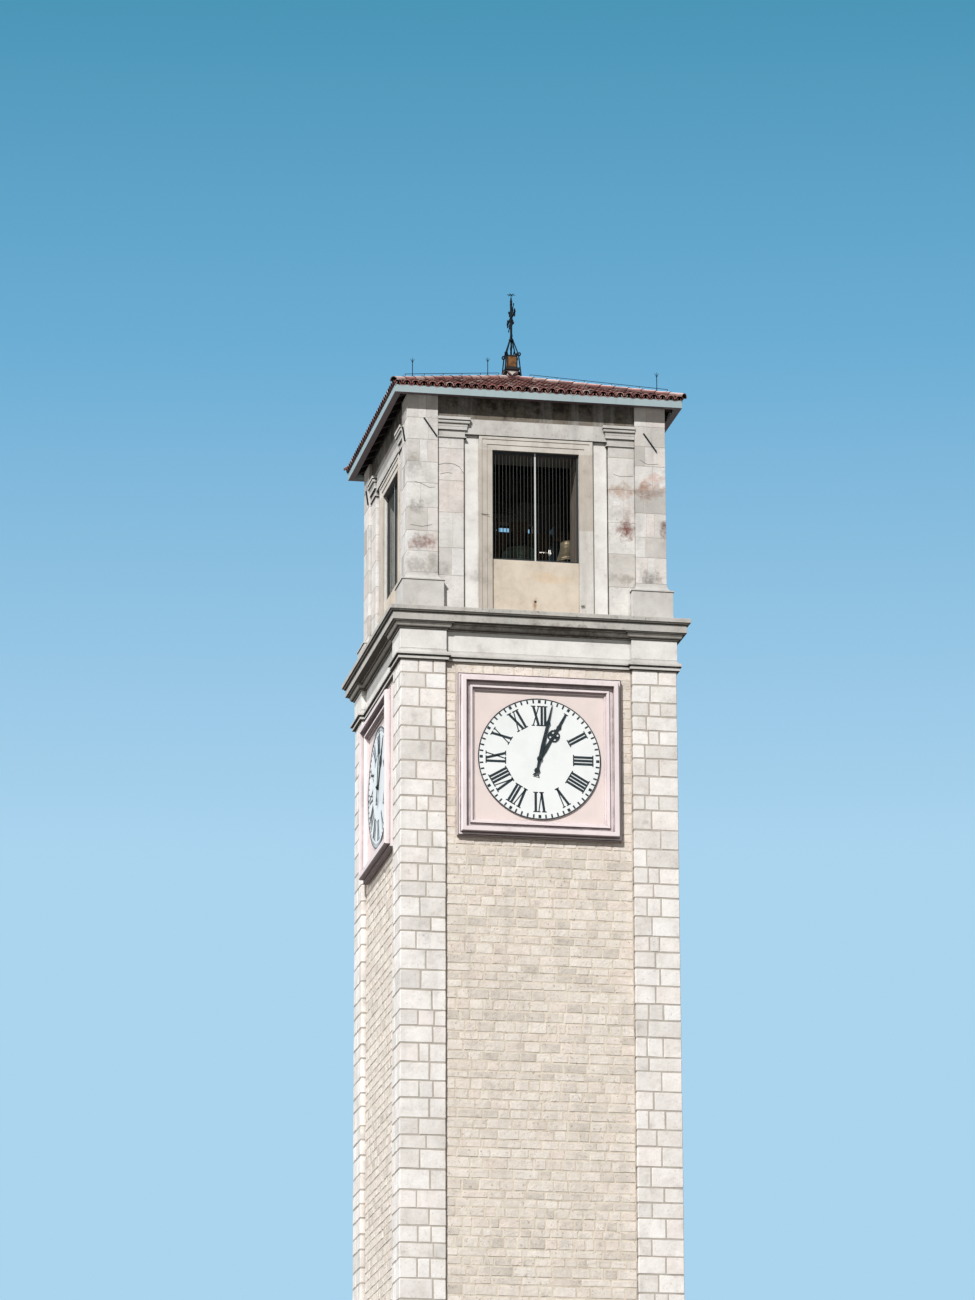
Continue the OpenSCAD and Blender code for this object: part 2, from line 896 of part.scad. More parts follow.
// The four rolls along the hips, from the foot of the finial to the corners
module hip_tile_rolls() {
  hip_slope = atan(slope / sqrt(2));
  start = finial_box_w / 2;
  length = tile_half * sqrt(2) / cos(hip_slope) + hip_over;
  for (turn = [45:90:315]) rotate([0, 0, turn])
    translate([0, 0, roof_point]) rotate([0, 90 + hip_slope, 0])
    translate([0, 0, start]) cylinder(h = length - start, r = hip_tile_r);
}

module hip_tiles() {
  color("firebrick")
  difference() {
    hip_tile_rolls();
    roof_pyramid(roof_point, 2 * tile_half);
    finial_stone();
  }
}

module eaves_gutter() {
  trough = eave_half - gutter_t;
  back = eave_half - gutter_w;
  lip = back + gutter_t;
  color("lightslategray")
  difference() {
    block([-eave_half, -eave_half, gutter_z], [eave_half, eave_half, gutter_top_z]);
    block([-back, -back, gutter_z - over], [back, back, gutter_top_z + over]);
    difference() {
      block([-trough, -trough, gutter_z + gutter_t], [trough, trough, gutter_top_z + over]);
      block([-lip, -lip, gutter_z], [lip, lip, gutter_top_z + 2 * over]);
    }
  }
}

// Finial

module finial_stone() {
  block([-finial_core, -finial_core, stone_z], [finial_core, finial_core, plate_z]);
}

module finial_base() {
  w = finial_box_w * 0.6;
  color("silver") {
    difference() {
      finial_stone();
      roof_pyramid(roof_point, tile_half);
    }
    block([-w, -w, plate_z], [w, w, box_z]);
  }
}

module finial_box() {
  w = finial_box_w / 2;
  color("peru") block([-w, -w, box_z], [w, w, box_top_z]);
}

// A round bar from one point to another
module strut(from, to, r) {
  way = to - from;
  translate(from) rotate([0, acos(way[2] / norm(way)), atan2(way[1], way[0])])
    cylinder(h = norm(way), r = r, $fn = 8);
}

// Legs bent at the box's top, cut level under the knot of the cross
module finial_legs() {
  bar_r = 14;
  bend = finial_box_w / 2 + 30;
  color("darkslategray")
  difference() {
    on_each_corner(0) {
      strut([leg_spread, -leg_spread, leg_foot_z], [bend, -bend, box_top_z], bar_r);
      strut([bend, -bend, box_top_z], [cross_bar, -cross_bar, leg_top_z + bar_r], bar_r);
    }
    hip_tile_rolls();
    block([-leg_spread, -leg_spread, leg_top_z], [leg_spread, leg_spread, leg_top_z + leg_spread]);
  }
}

// A disc of the cross, drawn in the plane of its arms
module cross_disc(y, z, r, t) {
  translate([0, y, z]) rotate([0, 90, 0]) cylinder(h = t, r = r, center = true);
}

module roof_cross() {
  top = roof_point + cross_h;
  arm_z = top - cross_arm;
  half = cross_bar / 2;
  ray = [cross_arm * 0.62, cross_arm * 0.48];
  disc_r = 26;
  tip_h = 90;
  color("darkslategray") {
    block([-half, -half, box_top_z], [half, half, top]);
    block([-half, -cross_arm, arm_z - half], [half, cross_arm, arm_z + half]);
    for (out = [-1, 1]) {
      cross_disc(out * (cross_arm - disc_r), arm_z, disc_r * 1.4, half);
      for (up = [-1, 1]) {
        strut([0, 0, arm_z], [0, out * ray[0], arm_z + up * ray[1]], half * 0.6);
        cross_disc(out * ray[0], arm_z + up * ray[1], disc_r, half);
      }
    }
    translate([0, 0, leg_top_z]) rotate_extrude()
      polygon([[0, 0], [50, 0], [54, 14], [44, 42], [28, 64], [0, 75]]);
    translate([0, 0, top]) cylinder(h = tip_h, r1 = half * 0.8, r2 = 3);
  }
}

// One rod near each corner of the roof, and one near its top at the front left
module lightning_rods() {
  length = 350;
  rod_r = 8;
  corner = tile_half * 0.848;
  upper = tile_half * 0.207;
  color("dimgray")
  difference() {
    union() {
      on_each_corner(corner)
        translate([0, 0, roof_point - corner * slope]) cylinder(h = hip_tile_r + length, r = rod_r);
      translate([-upper, -upper, roof_point - upper * slope]) cylinder(h = hip_tile_r + length, r = rod_r);
    }
    hip_tile_rolls();
  }
}

base_plinth();
shaft_corner_piers();
shaft_wall(0);  // shaft_front_wall
shaft_wall(90);  // shaft_right_wall
shaft_back_wall();
shaft_wall(270);  // shaft_left_wall
door_surround();
entrance_door();
architrave();
frieze();
cornice();
clock_surrounds();
clock_panels();
clock_dials();
hand_spindles();
minute_hand(0);  // front_minute_hand
hour_hand(0);  // front_hour_hand
minute_hand(90);  // right_minute_hand
hour_hand(90);  // right_hour_hand
minute_hand(180);  // back_minute_hand
hour_hand(180);  // back_hour_hand
minute_hand(270);  // left_minute_hand
hour_hand(270);  // left_hour_hand
belfry_floor();
belfry_pier_bases();
belfry_corner_piers();
belfry_pilasters();
pilaster_capitals();
belfry_jambs();
belfry_lintels();
window_surrounds();
parapets();
screen_frames();
tie_anchors();
bell_frame();
large_bell();
large_bell_headstock();
small_bell();
small_bell_headstock();
wall_plate();
rafters();
hip_rafters();
roof_boards();
roof_tiles();
hip_tiles();
eaves_gutter();
finial_base();
finial_box();
finial_legs();
roof_cross();
lightning_rods();
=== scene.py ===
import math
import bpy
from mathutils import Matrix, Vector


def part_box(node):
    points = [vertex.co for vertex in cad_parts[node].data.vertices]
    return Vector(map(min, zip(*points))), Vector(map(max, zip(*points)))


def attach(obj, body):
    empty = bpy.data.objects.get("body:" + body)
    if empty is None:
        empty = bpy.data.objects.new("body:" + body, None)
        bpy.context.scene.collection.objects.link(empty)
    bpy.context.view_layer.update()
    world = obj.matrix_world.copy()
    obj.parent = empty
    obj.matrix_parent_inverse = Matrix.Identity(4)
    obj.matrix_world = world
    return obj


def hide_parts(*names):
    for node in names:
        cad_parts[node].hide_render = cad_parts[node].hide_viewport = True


bl_info = {
    "name": "Clock Tower",
    "version": (1, 0, 0),
    "blender": (4, 5, 0),
    "location": "3D Viewport > Sidebar > Tower",
    "description": "Dresses a stone clock tower with masonry, clay tiles, clock faces, bells and ironwork",
    "category": "Add Mesh",
}

import bmesh
import bpy
import numpy as np
from bpy.props import FloatProperty, FloatVectorProperty, IntProperty, PointerProperty
from bpy.types import Operator, Panel, PropertyGroup
from mathutils import Matrix, Vector

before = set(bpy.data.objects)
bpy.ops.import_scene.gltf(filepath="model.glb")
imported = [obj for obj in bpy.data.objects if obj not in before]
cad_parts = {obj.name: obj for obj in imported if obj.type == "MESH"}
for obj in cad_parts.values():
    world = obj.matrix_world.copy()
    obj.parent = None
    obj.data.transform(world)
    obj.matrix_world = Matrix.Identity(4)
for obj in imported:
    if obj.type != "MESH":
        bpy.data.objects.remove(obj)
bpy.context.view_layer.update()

# Places and sizes that the pieces take from the frame
HALF_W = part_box("shaft_corner_piers")[1].x
SHAFT_FOOT, SHAFT_TOP = (corner.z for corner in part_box("shaft_corner_piers"))
WALL_FACE = -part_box("shaft_front_wall")[0].y
INNER_FACE = -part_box("shaft_front_wall")[1].y
BAY_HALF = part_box("shaft_front_wall")[1].x
CLOCK_LOW, CLOCK_HIGH = (corner.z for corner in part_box("clock_surrounds"))
CLOCK_HALF = (CLOCK_HIGH - CLOCK_LOW) / 2
DIAL_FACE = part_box("clock_dials")[1].x
DIAL_Z = (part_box("clock_dials")[0].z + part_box("clock_dials")[1].z) / 2
DIAL_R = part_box("clock_dials")[1].z - DIAL_Z
CLOCK_Z = (CLOCK_LOW + CLOCK_HIGH) / 2
GATE_LOW, GATE_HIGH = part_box("door_surround")
LEDGE_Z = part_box("cornice")[1].z
BELFRY_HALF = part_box("belfry_corner_piers")[1].x
BELFRY_FOOT, WALL_TOP = (corner.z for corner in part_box("belfry_corner_piers"))
BELFRY_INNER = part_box("belfry_floor")[1].x
PILASTER_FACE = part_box("belfry_pilasters")[1].x
PILASTER_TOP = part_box("belfry_pilasters")[1].z
SURROUND_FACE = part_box("window_surrounds")[1].x
PARAPET_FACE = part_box("parapets")[1].x
SCREEN_LOW, SCREEN_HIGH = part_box("screen_frames")
TILE_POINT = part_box("roof_tiles")[1].z
DECK_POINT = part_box("roof_boards")[1].z
TILE_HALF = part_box("roof_tiles")[1].x

# The tower's four alike sides, as turns about its axis from the front
SIDES = {"front": 0, "right": 90, "back": 180, "left": 270}
TURNS = tuple(SIDES.values())

# Edge of the plain mortar behind the stones, and worn edge of the belfry's smooth blocks
PLAIN_EDGE = 0.002
FINE_EDGE = 0.004
# How far a corner may lie back on the shaft's squared blocks, the bays' stones and the belfry's blocks
PIER_JITTER = 0.009
BAY_JITTER = 0.010
FINE_JITTER = 0.002


def linear(hex_colour):
    """An sRGB hex colour, such as d9d6cf, as linear red, green, blue and alpha."""
    channels = [int(hex_colour[i:i + 2], 16) / 255 for i in (0, 2, 4)]
    return [c / 12.92 if c <= 0.04045 else ((c + 0.055) / 1.055) ** 2.4 for c in channels] + [1.0]


def length(text, value):
    """A property for a length in metres, from its name and description and its default."""
    return FloatProperty(name=text[0], description=text[1], default=value, min=0.0, max=10.0, unit="LENGTH")


def colour(text, hex_colour):
    """A property for a colour, from its name and description and its default."""
    return FloatVectorProperty(
        name=text[0], description=text[1], default=linear(hex_colour), size=4, subtype="COLOR", min=0, max=1
    )


class TowerStone(PropertyGroup):
    """Sizes of the stones and of the mortar between them"""

    pier_course: length(("Pier course", "Usual height of a course of the corner piers"), 0.34)
    pier_course_spread: length(("Pier course spread", "How far a pier course may be from its usual height"), 0.07)
    bay_course: length(("Bay course", "Usual height of a course of the bay walls"), 0.19)
    bay_course_spread: length(("Bay course spread", "How far a bay course may be from its usual height"), 0.04)
    bay_stone: length(("Bay stone", "Usual length of a stone of the bay walls"), 0.34)
    belfry_course: length(("Belfry course", "Usual height of a course of the belfry piers"), 0.47)
    pilaster_w: length(("Pilaster", "Width of a belfry pilaster"), 0.54)
    pilaster_course: length(("Pilaster course", "Usual height of a pilaster's blocks"), 0.62)
    joint: length(("Joint", "Width of a mortar joint"), 0.012)
    joint_depth: length(("Joint depth", "How far the mortar lies back from the stones' faces"), 0.012)
    fine_joint: length(("Fine joint", "Width of a joint of the belfry"), 0.006)
    fine_depth: length(("Fine joint depth", "How far the belfry's joints lie back"), 0.005)
    worn_edge: length(("Worn edge", "Width of the worn edge round a stone"), 0.012)


class TowerRoof(PropertyGroup):
    """Slope of the roof and sizes of its tiles"""

    pitch: FloatProperty(
        name="Pitch", description="Slope of the roof", default=math.radians(22.5), subtype="ANGLE"
    )
    tiles_across: IntProperty(name="Tiles across", description="Rows of cover tiles on a side", default=34, min=4)
    tile_length: length(("Tile length", "Length of one clay tile"), 0.45)
    tile_lap: length(("Tile lap", "How far each tile covers the one below"), 0.10)
    tile_t: length(("Tile thickness", "Thickness of the clay"), 0.014)
    hip_tile_w: length(("Hip tile", "Width of a hip tile at its wide end"), 0.19)


class TowerClock(PropertyGroup):
    """Sizes of the clocks' figures, rims and mouldings"""

    numeral_out: length(("Numeral outside", "Radius of the numerals' outer ends"), 1.085)
    numeral_in: length(("Numeral inside", "Radius of the numerals' inner ends"), 0.69)
    thick: length(("Thick stroke", "Width of the numerals' thick strokes"), 0.050)
    thin: length(("Thin stroke", "Width of the numerals' thin strokes"), 0.022)
    minute_r: length(("Minute ring", "Radius of the ring of minute marks"), 1.184)
    paint: length(("Paint", "Thickness of the raised black figures"), 0.003)
    rim_out: length(("Rim", "Radius of the white rim round the dial"), 1.236)
    bead: length(("Bead", "Width of the inner moulding of each clock surround"), 0.055)
    bead_r: length(("Bead place", "Distance of that moulding from the surround's middle"), 1.392)
    bead_proud: length(("Bead proud", "How far that moulding stands out from the panel"), 0.105)


class TowerColours(PropertyGroup):
    """Colours of the stones, paints and metals, and of the backdrop"""

    ashlar: colour(("Ashlar", "Squared limestone of the shaft's piers"), "fcf9f6")
    high_ashlar: colour(("High ashlar", "Squared limestone of the belfry's piers"), "edecea")
    rubble: colour(("Bay stone", "Small rough limestone of the bays"), "f7efe6")
    dressed: colour(("Dressed stone", "Smooth limestone of pilasters and capitals"), "e9e8e5")
    pale: colour(("Pale stone", "Cleaner limestone of the frieze and strips"), "fbfaf7")
    weathered: colour(("Weathered stone", "Limestone that rain and soot have greyed"), "dddbd6")
    warm: colour(("Warm stone", "Beige limestone of the window surrounds"), "dbd3c9")
    mortar: colour(("Mortar", "Lime mortar in the joints"), "c2bab0")
    bay_mortar: colour(("Bay mortar", "Wide flush joints of the bays"), "eadfcf")
    pale_mortar: colour(("Pale mortar", "Tight joints of the belfry's piers"), "cfcbc4")
    parapet: colour(("Parapet render", "Beige lime render of the parapets"), "dbcfbe")
    mauve: colour(("Mauve paint", "Paint of the clock surrounds"), "f3e6e6")
    pink: colour(("Pink paint", "Paint of the clock panels"), "eeded9")
    enamel: colour(("Enamel", "White enamel of the dials"), "f8faf9")
    figures: colour(("Figures", "Black of the numerals and hands"), "1d2628")
    tile: colour(("Clay tile", "Fired clay of the roof"), "b5736a")
    gutter: colour(("Gutter paint", "Blue-grey paint of the gutter"), "a9babd")
    # Nearly black, partly weathering and partly painted shade of the eaves' soffit
    timber: colour(("Timber", "Dark timber of the roof"), "241e1b")
    iron: colour(("Iron", "Wrought iron of the cross"), "101c22")
    bronze: colour(("Bronze", "Cast bell bronze"), "8a7a5e")
    sky_low: colour(("Low sky", "Backdrop low in the picture"), "abd4ef")
    sky_middle: colour(("Middle sky", "Backdrop behind the roof"), "6cadd4")
    sky_high: colour(("High sky", "Backdrop at the top of the picture"), "4893b5")


# Finishes

# How far soot and painted shade reach out of a corner of the walls, and how far painted shade reaches into a gap
# between tiles
WALL_SHADE_AND_SOOT_REACH = 0.16
TILE_GAP_SHADE_REACH = 0.18


def add(tree, kind, inputs=(), stops=(), **settings):
    """Adds a shader node and gives its outputs. Inputs go by name or number, or in order where they are a list, and
    each is a value or a socket to link. Stops are a ramp's places and colours."""
    node = tree.nodes.new("ShaderNode" + kind)
    for key, value in settings.items():
        setattr(node, key, value)
    for key, value in inputs.items() if isinstance(inputs, dict) else enumerate(inputs):
        if isinstance(value, bpy.types.NodeSocket):
            tree.links.new(value, node.inputs[key])
        else:
            node.inputs[key].default_value = value
    if stops:
        ramp = node.color_ramp
        while len(ramp.elements) < len(stops):
            ramp.elements.new(1.0)
        for element, (position, tint) in zip(ramp.elements, stops):
            element.position = position
            element.color = tint
    return node.outputs


def new_material(name, roughness, specular=0.5):
    """A material with a Principled shader. Gives it with its node tree, the shader and the object's coordinates."""
    material = bpy.data.materials.new(name)
    material.use_nodes = True
    tree = material.node_tree
    tree.nodes.clear()
    surface = add(tree, "BsdfPrincipled", {"Roughness": roughness, "Specular IOR Level": specular})["BSDF"]
    add(tree, "OutputMaterial", {"Surface": surface})
    return material, tree, surface.node, add(tree, "TexCoord")["Object"]


def shade(base, factor):
    """A linear colour made lighter or darker by a factor."""
    return [min(1.0, c * factor) for c in list(base)[:3]] + [1.0]


def coated(tree, surface, layers):
    """Lays colours over a surface in turn. Each layer is a mask, a colour and, where they don't just mix, how."""
    for mask, tint, *mode in layers:
        blend = mode[0] if mode else "MIX"
        surface = add(tree, "Mix", {0: mask, 6: surface, 7: tint}, data_type="RGBA", blend_type=blend)[2]
    return surface


def clouds(tree, place, per_metre, detail, roughness, levels=None, stretch=None):
    """Ragged clouds, with a number of them to a metre. Levels turn values between the first two into values between
    the last two, and a stretch draws the clouds out along an axis."""
    if stretch:
        place = add(tree, "Mapping", {"Vector": place, "Scale": stretch})["Vector"]
    inputs = {"Vector": place, "Scale": per_metre, "Detail": detail, "Roughness": roughness}
    spots = add(tree, "TexNoise", inputs)["Fac"]
    return add(tree, "MapRange", [spots, *levels])[0] if levels else spots


def bumped(tree, shader, *layers):
    """Gives the shader a bump of several heights, each a socket, its depth in metres and its strength."""
    normal = None
    for height, depth, strength in layers:
        inputs = {"Height": height, "Distance": depth, "Strength": strength}
        if normal:
            inputs["Normal"] = normal
        normal = add(tree, "Bump", inputs)["Normal"]
    tree.links.new(normal, shader.inputs["Normal"])


def stain_and_shade_patch(tree, place, centre, size, amount):
    """Mask of a ragged, broken patch about a centre, of a size each way in metres, which serves for stains and for
    patches of painted shade.
    """
    offset = add(tree, "VectorMath", [place, centre], operation="SUBTRACT")[0]
    scaled = add(tree, "VectorMath", [offset, size], operation="DIVIDE")[0]
    distance = add(tree, "VectorMath", [scaled], operation="LENGTH")["Value"]
    torn = clouds(tree, place, 5.0, 8.0, 0.7, (0.3, 0.7, -0.7, 0.7))
    ragged = add(tree, "Math", [distance, torn], operation="ADD")[0]
    mask = add(tree, "MapRange", [ragged, 0.45, 1.15, amount, 0.0])[0]
    broken = clouds(tree, place, 11.0, 6.0, 0.7, (0.40, 0.52, 0.5, 1.0))
    return add(tree, "Math", [mask, broken], operation="MULTIPLY")[0]


def box_mask(tree, place, low, high, soft=0.01):
    """One inside a box from low to high, nothing outside it, and soft at its edges."""
    middle = [(a + b) / 2 for a, b in zip(low, high)]
    half = [(b - a) / 2 for a, b in zip(low, high)]
    offset = add(tree, "VectorMath", [place, middle], operation="SUBTRACT")[0]
    offset = add(tree, "VectorMath", [offset], operation="ABSOLUTE")[0]
    beyond = add(tree, "VectorMath", [offset, half], operation="SUBTRACT")[0]
    outside = add(tree, "SeparateXYZ", [beyond])
    far = add(tree, "Math", [outside["Y"], outside["Z"]], operation="MAXIMUM")[0]
    far = add(tree, "Math", [outside["X"], far], operation="MAXIMUM")[0]
    return add(tree, "MapRange", [far, 0.0, soft, 1.0, 0.0])[0]


def soot_and_painted_shade(tree, place, amount, open_to=0.72):
    """Share of soot and painted shade: nearly black in corners and on undersides, where shade falls, the corners
    broken up, and nothing on open faces, which see more than open_to of their surroundings."""
    sky = add(tree, "AmbientOcclusion", {"Distance": WALL_SHADE_AND_SOOT_REACH}, samples=4)["AO"]
    # Corners that see little of their surroundings take soot and painted shade
    corner = add(tree, "MapRange", [sky, open_to, open_to - 0.42])[0]
    facing = add(tree, "SeparateXYZ", [add(tree, "NewGeometry")["True Normal"]])["Z"]
    # Faces that look down are darkened as painted shade, whatever the lamps do
    underside_shade = add(tree, "MapRange", [facing, -0.3, -0.8, 0.0, 0.94])[0]
    uneven = clouds(tree, place, 2.6, 6.0, 0.65, (0.32, 0.62, 0.35, 1.0))
    broken = add(tree, "Math", [corner, uneven], operation="MULTIPLY")[0]
    most = add(tree, "Math", [broken, underside_shade], operation="MAXIMUM")[0]
    return add(tree, "Math", [most, amount], operation="MULTIPLY")[0]


def stone_finish(name, base, speck_hex, specks, grime, grain, tone_spread, soot, veins=0.0, patches=(), zones=()):
    """Limestone and mortar: mottled, each stone a little lighter, darker or warmer than the next, rain-streaked, with
    specks where pits hold dirt, and soot with painted shade in its corners and on its undersides. Specks, grime, soot
    and veins are how strongly each shows, soot standing for that soot and painted shade, grain is how deep the surface
    is, and tone_spread is how far one stone may differ from the next. Patches are stains and patches of painted shade,
    each its centre, size, colour and strength. Zones are boxes of another colour, each its two corners and the colour."""
    material, tree, shader, place = new_material(name, 0.92, 0.25)
    tone = add(tree, "Attribute", attribute_name="tone")["Fac"]
    # Each stone is cut from another part of the pattern
    own_place = add(tree, "VectorMath", [tone, (37.0, 17.0, 0.0), place], operation="MULTIPLY_ADD")[0]
    mottle = add(tree, "ValToRGB", [clouds(tree, own_place, 2.2, 8.0, 0.7)], stops=[
        (0.28, (0.66, 0.65, 0.64, 1)), (0.42, (0.90, 0.89, 0.88, 1)),
        (0.56, (1, 1, 1, 1)), (0.72, (1.08, 1.08, 1.08, 1)),
    ])["Color"]
    tint = add(tree, "ValToRGB", [tone], stops=[
        (0.0, linear("c9c4be")), (0.15, linear("e2ddd7")), (0.4, linear("f6f3ef")),
        (0.65, linear("fffdfb")), (0.85, linear("f5e9e3")), (1.0, linear("ffffff")),
    ])["Color"]
    layers = [(box_mask(tree, place, low, high), linear(hex_colour)) for low, high, hex_colour in zones]
    layers += [(stain_and_shade_patch(tree, place, *where, amount), linear(hex_colour)) for *where, hex_colour, amount in patches]
    layers += [(1.0, mottle, "MULTIPLY"), (tone_spread, tint, "MULTIPLY")]
    if veins:
        marble = clouds(tree, own_place, 1.7, 9.0, 0.62, stretch=(1.0, 1.0, 2.2))
        off_middle = add(tree, "Math", [marble, 0.5], operation="SUBTRACT")[0]
        near = add(tree, "Math", [off_middle], operation="ABSOLUTE")[0]
        layers.append((add(tree, "MapRange", [near, 0.0, 0.05, veins, 0.0])[0], shade(base, 0.62)))
    layers += [
        (clouds(tree, place, 0.75, 7.0, 0.66, (0.46, 0.70, 0.0, grime * 0.8)), shade(base, 0.66)),
        (clouds(tree, place, 4.0, 6.0, 0.62, (0.52, 0.70, 0.0, grime), (1.0, 1.0, 0.10)), shade(base, 0.52)),
        (clouds(tree, place, 19.0, 4.0, 0.72, (0.60, 0.67, 0.0, specks)), linear(speck_hex)),
        # Soot and painted shade, near-black brown, in corners and under ledges
        (soot_and_painted_shade(tree, place, soot), linear("2b241f")),
    ]
    tree.links.new(coated(tree, list(base), layers), shader.inputs["Base Color"])
    # Tool marks 125 mm apart, and grit: its real 1 mm wouldn't show from the ground, so it is drawn 18 mm wide
    marks, grit = clouds(tree, own_place, 8.0, 6.0, 0.7), clouds(tree, place, 55.0, 5.0, 0.7)
    bumped(tree, shader, (marks, 0.024 * grain, 0.6), (grit, 0.005 * grain, 0.65))
    return material


def painted_finish(name, base, wear_hex, wear, roughness, bump, soot=0.0):
    """A painted face: nearly even, with faded clouds and thin rain streaks, and, where soot is given, soot and
    purple-black painted shade in its corners and under its ledges. Bump is its unevenness in metres.
    """
    material, tree, shader, place = new_material(name, roughness)
    layers = [
        (clouds(tree, place, 1.6, 7.0, 0.62, (0.42, 0.68, 0.0, 0.55)), shade(base, 0.86)),
        (clouds(tree, place, 5.0, 5.0, 0.6, (0.55, 0.72, 0.0, wear), (1.0, 1.0, 0.08)), linear(wear_hex)),
    ]
    if soot:
        # Soot and painted shade, in the purple-black that the shaded steps take
        layers.append((soot_and_painted_shade(tree, place, soot, 0.70), linear("452831")))
    tree.links.new(coated(tree, list(base), layers), shader.inputs["Base Color"])
    # Brush marks of 2 mm wouldn't show, so they are drawn 33 mm wide
    bumped(tree, shader, (clouds(tree, place, 30.0, 4.0, 0.6), bump, 0.4))
    return material


def screen_finish(name):
    """Dark painted steel, but for the pale post up the middle of each side."""
    material, tree, shader, place = new_material(name, 0.5)
    way = add(tree, "SeparateXYZ", [place])
    across = [add(tree, "Math", [way[axis]], operation="ABSOLUTE")[0] for axis in ("X", "Y")]
    near = add(tree, "Math", across, operation="MINIMUM")[0]
    post = add(tree, "MapRange", [near, 0.014, 0.016, 1.0, 0.0])[0]
    tree.links.new(coated(tree, linear("211f1c"), [(post, linear("cdd0cd"))]), shader.inputs["Base Color"])
    return material


def metal_finish(name, base, oxide_hex, oxide, metallic, roughness):
    """Iron or bronze in the open: dull, with patches of oxide that are rougher to the eye. Iron that is hidden by old
    paint has no metallic share and hardly shines."""
    material, tree, shader, place = new_material(name, roughness, 0.5 if metallic else 0.12)
    patches = clouds(tree, place, 9.0, 7.0, 0.68, (0.46, 0.66, 0.0, oxide))
    tree.links.new(coated(tree, list(base), [(patches, linear(oxide_hex))]), shader.inputs["Base Color"])
    shader.inputs["Metallic"].default_value = metallic
    tree.links.new(add(tree, "MapRange", [patches, 0.0, 1.0, roughness, 0.95])[0], shader.inputs["Roughness"])
    # Pits of 1 mm wouldn't show, so they are drawn 17 mm wide
    bumped(tree, shader, (clouds(tree, place, 60.0, 4.0, 0.6), 0.002, 0.5))
    return material


def timber_finish(name, base, along):
    """Weathered timber, its grain drawn out along an axis, greyed on the ridges."""
    material, tree, shader, place = new_material(name, 0.82)
    stretch = [1.0, 1.0, 1.0]
    stretch["XYZ".index(along)] = 0.05
    # Year rings of 3 mm wouldn't show, so the grain is drawn 11 mm wide
    grain = clouds(tree, place, 90.0, 6.0, 0.6, stretch=stretch)
    tone = add(tree, "Attribute", attribute_name="tone")["Fac"]
    ridges = add(tree, "ValToRGB", [grain], stops=[
        (0.3, shade(base, 0.5)), (0.55, shade(base, 1.0)), (0.75, shade(base, 1.5)),
    ])["Color"]
    piece_tone = coated(tree, [0.75, 0.75, 0.75, 1], [(tone, [1.15, 1.15, 1.15, 1])])
    tree.links.new(coated(tree, ridges, [(1.0, piece_tone, "MULTIPLY")]), shader.inputs["Base Color"])
    bumped(tree, shader, (grain, 0.004, 0.5))
    return material


def clay_finish(name, base, limed=0.0):
    """Fired clay tile: each tile its own red, with painted shade near black in the gaps and on faces that look down,
    painted shade dark down the side that looks to -X, a pale bloom on some backs, or with the lime of its bedding
    along its top."""
    material, tree, shader, place = new_material(name, 0.88)
    tone = add(tree, "Attribute", attribute_name="tone")["Fac"]
    own_red = add(tree, "ValToRGB", [tone], stops=[
        (0.0, shade(base, 0.30)), (0.25, shade(base, 0.62)), (0.5, shade(base, 1.05)),
        (0.8, linear("c98f83")), (1.0, linear("e0c8be")),
    ])["Color"]
    sky = add(tree, "AmbientOcclusion", {"Distance": TILE_GAP_SHADE_REACH}, samples=4)["AO"]
    facing = add(tree, "SeparateXYZ", [add(tree, "NewGeometry")["True Normal"]])
    soot = clouds(tree, place, 5.0, 7.0, 0.7, (0.48, 0.66, 0.0, 0.6))
    bloom = clouds(tree, place, 14.0, 5.0, 0.7, (0.58, 0.68, 0.0, 0.6))
    layers = [(soot, shade(base, 0.35)), (bloom, linear("c9bcae"))]
    if limed:
        top = add(tree, "MapRange", [facing["Z"], 0.55, 0.85])[0]
        left_on = add(tree, "MapRange", [soot, 0.0, 0.5, limed, limed * 0.5])[0]
        layers.append((add(tree, "Math", [top, left_on], operation="MULTIPLY")[0], linear("e6dcdf")))
    # Painted shade, near black, in the gaps between tiles and on faces that look down
    gap = add(tree, "MapRange", [sky, 0.86, 0.46])[0]
    underside_shade = add(tree, "MapRange", [facing["Z"], -0.25, -0.75, 0.0, 0.93])[0]
    layers += [
        (add(tree, "Math", [gap, underside_shade], operation="MAXIMUM")[0], linear("140e0d")),
        # Painted shade down the side that looks to -X
        (add(tree, "MapRange", [facing["X"], -0.35, -0.75, 0.0, 0.85])[0], linear("241c1c")),
    ]
    tree.links.new(coated(tree, own_red, layers), shader.inputs["Base Color"])
    # Sand of 1 mm in the clay wouldn't show, so it is drawn 22 mm wide
    bumped(tree, shader, (clouds(tree, place, 45.0, 5.0, 0.7), 0.003, 0.6))
    return material


MATERIALS = {}


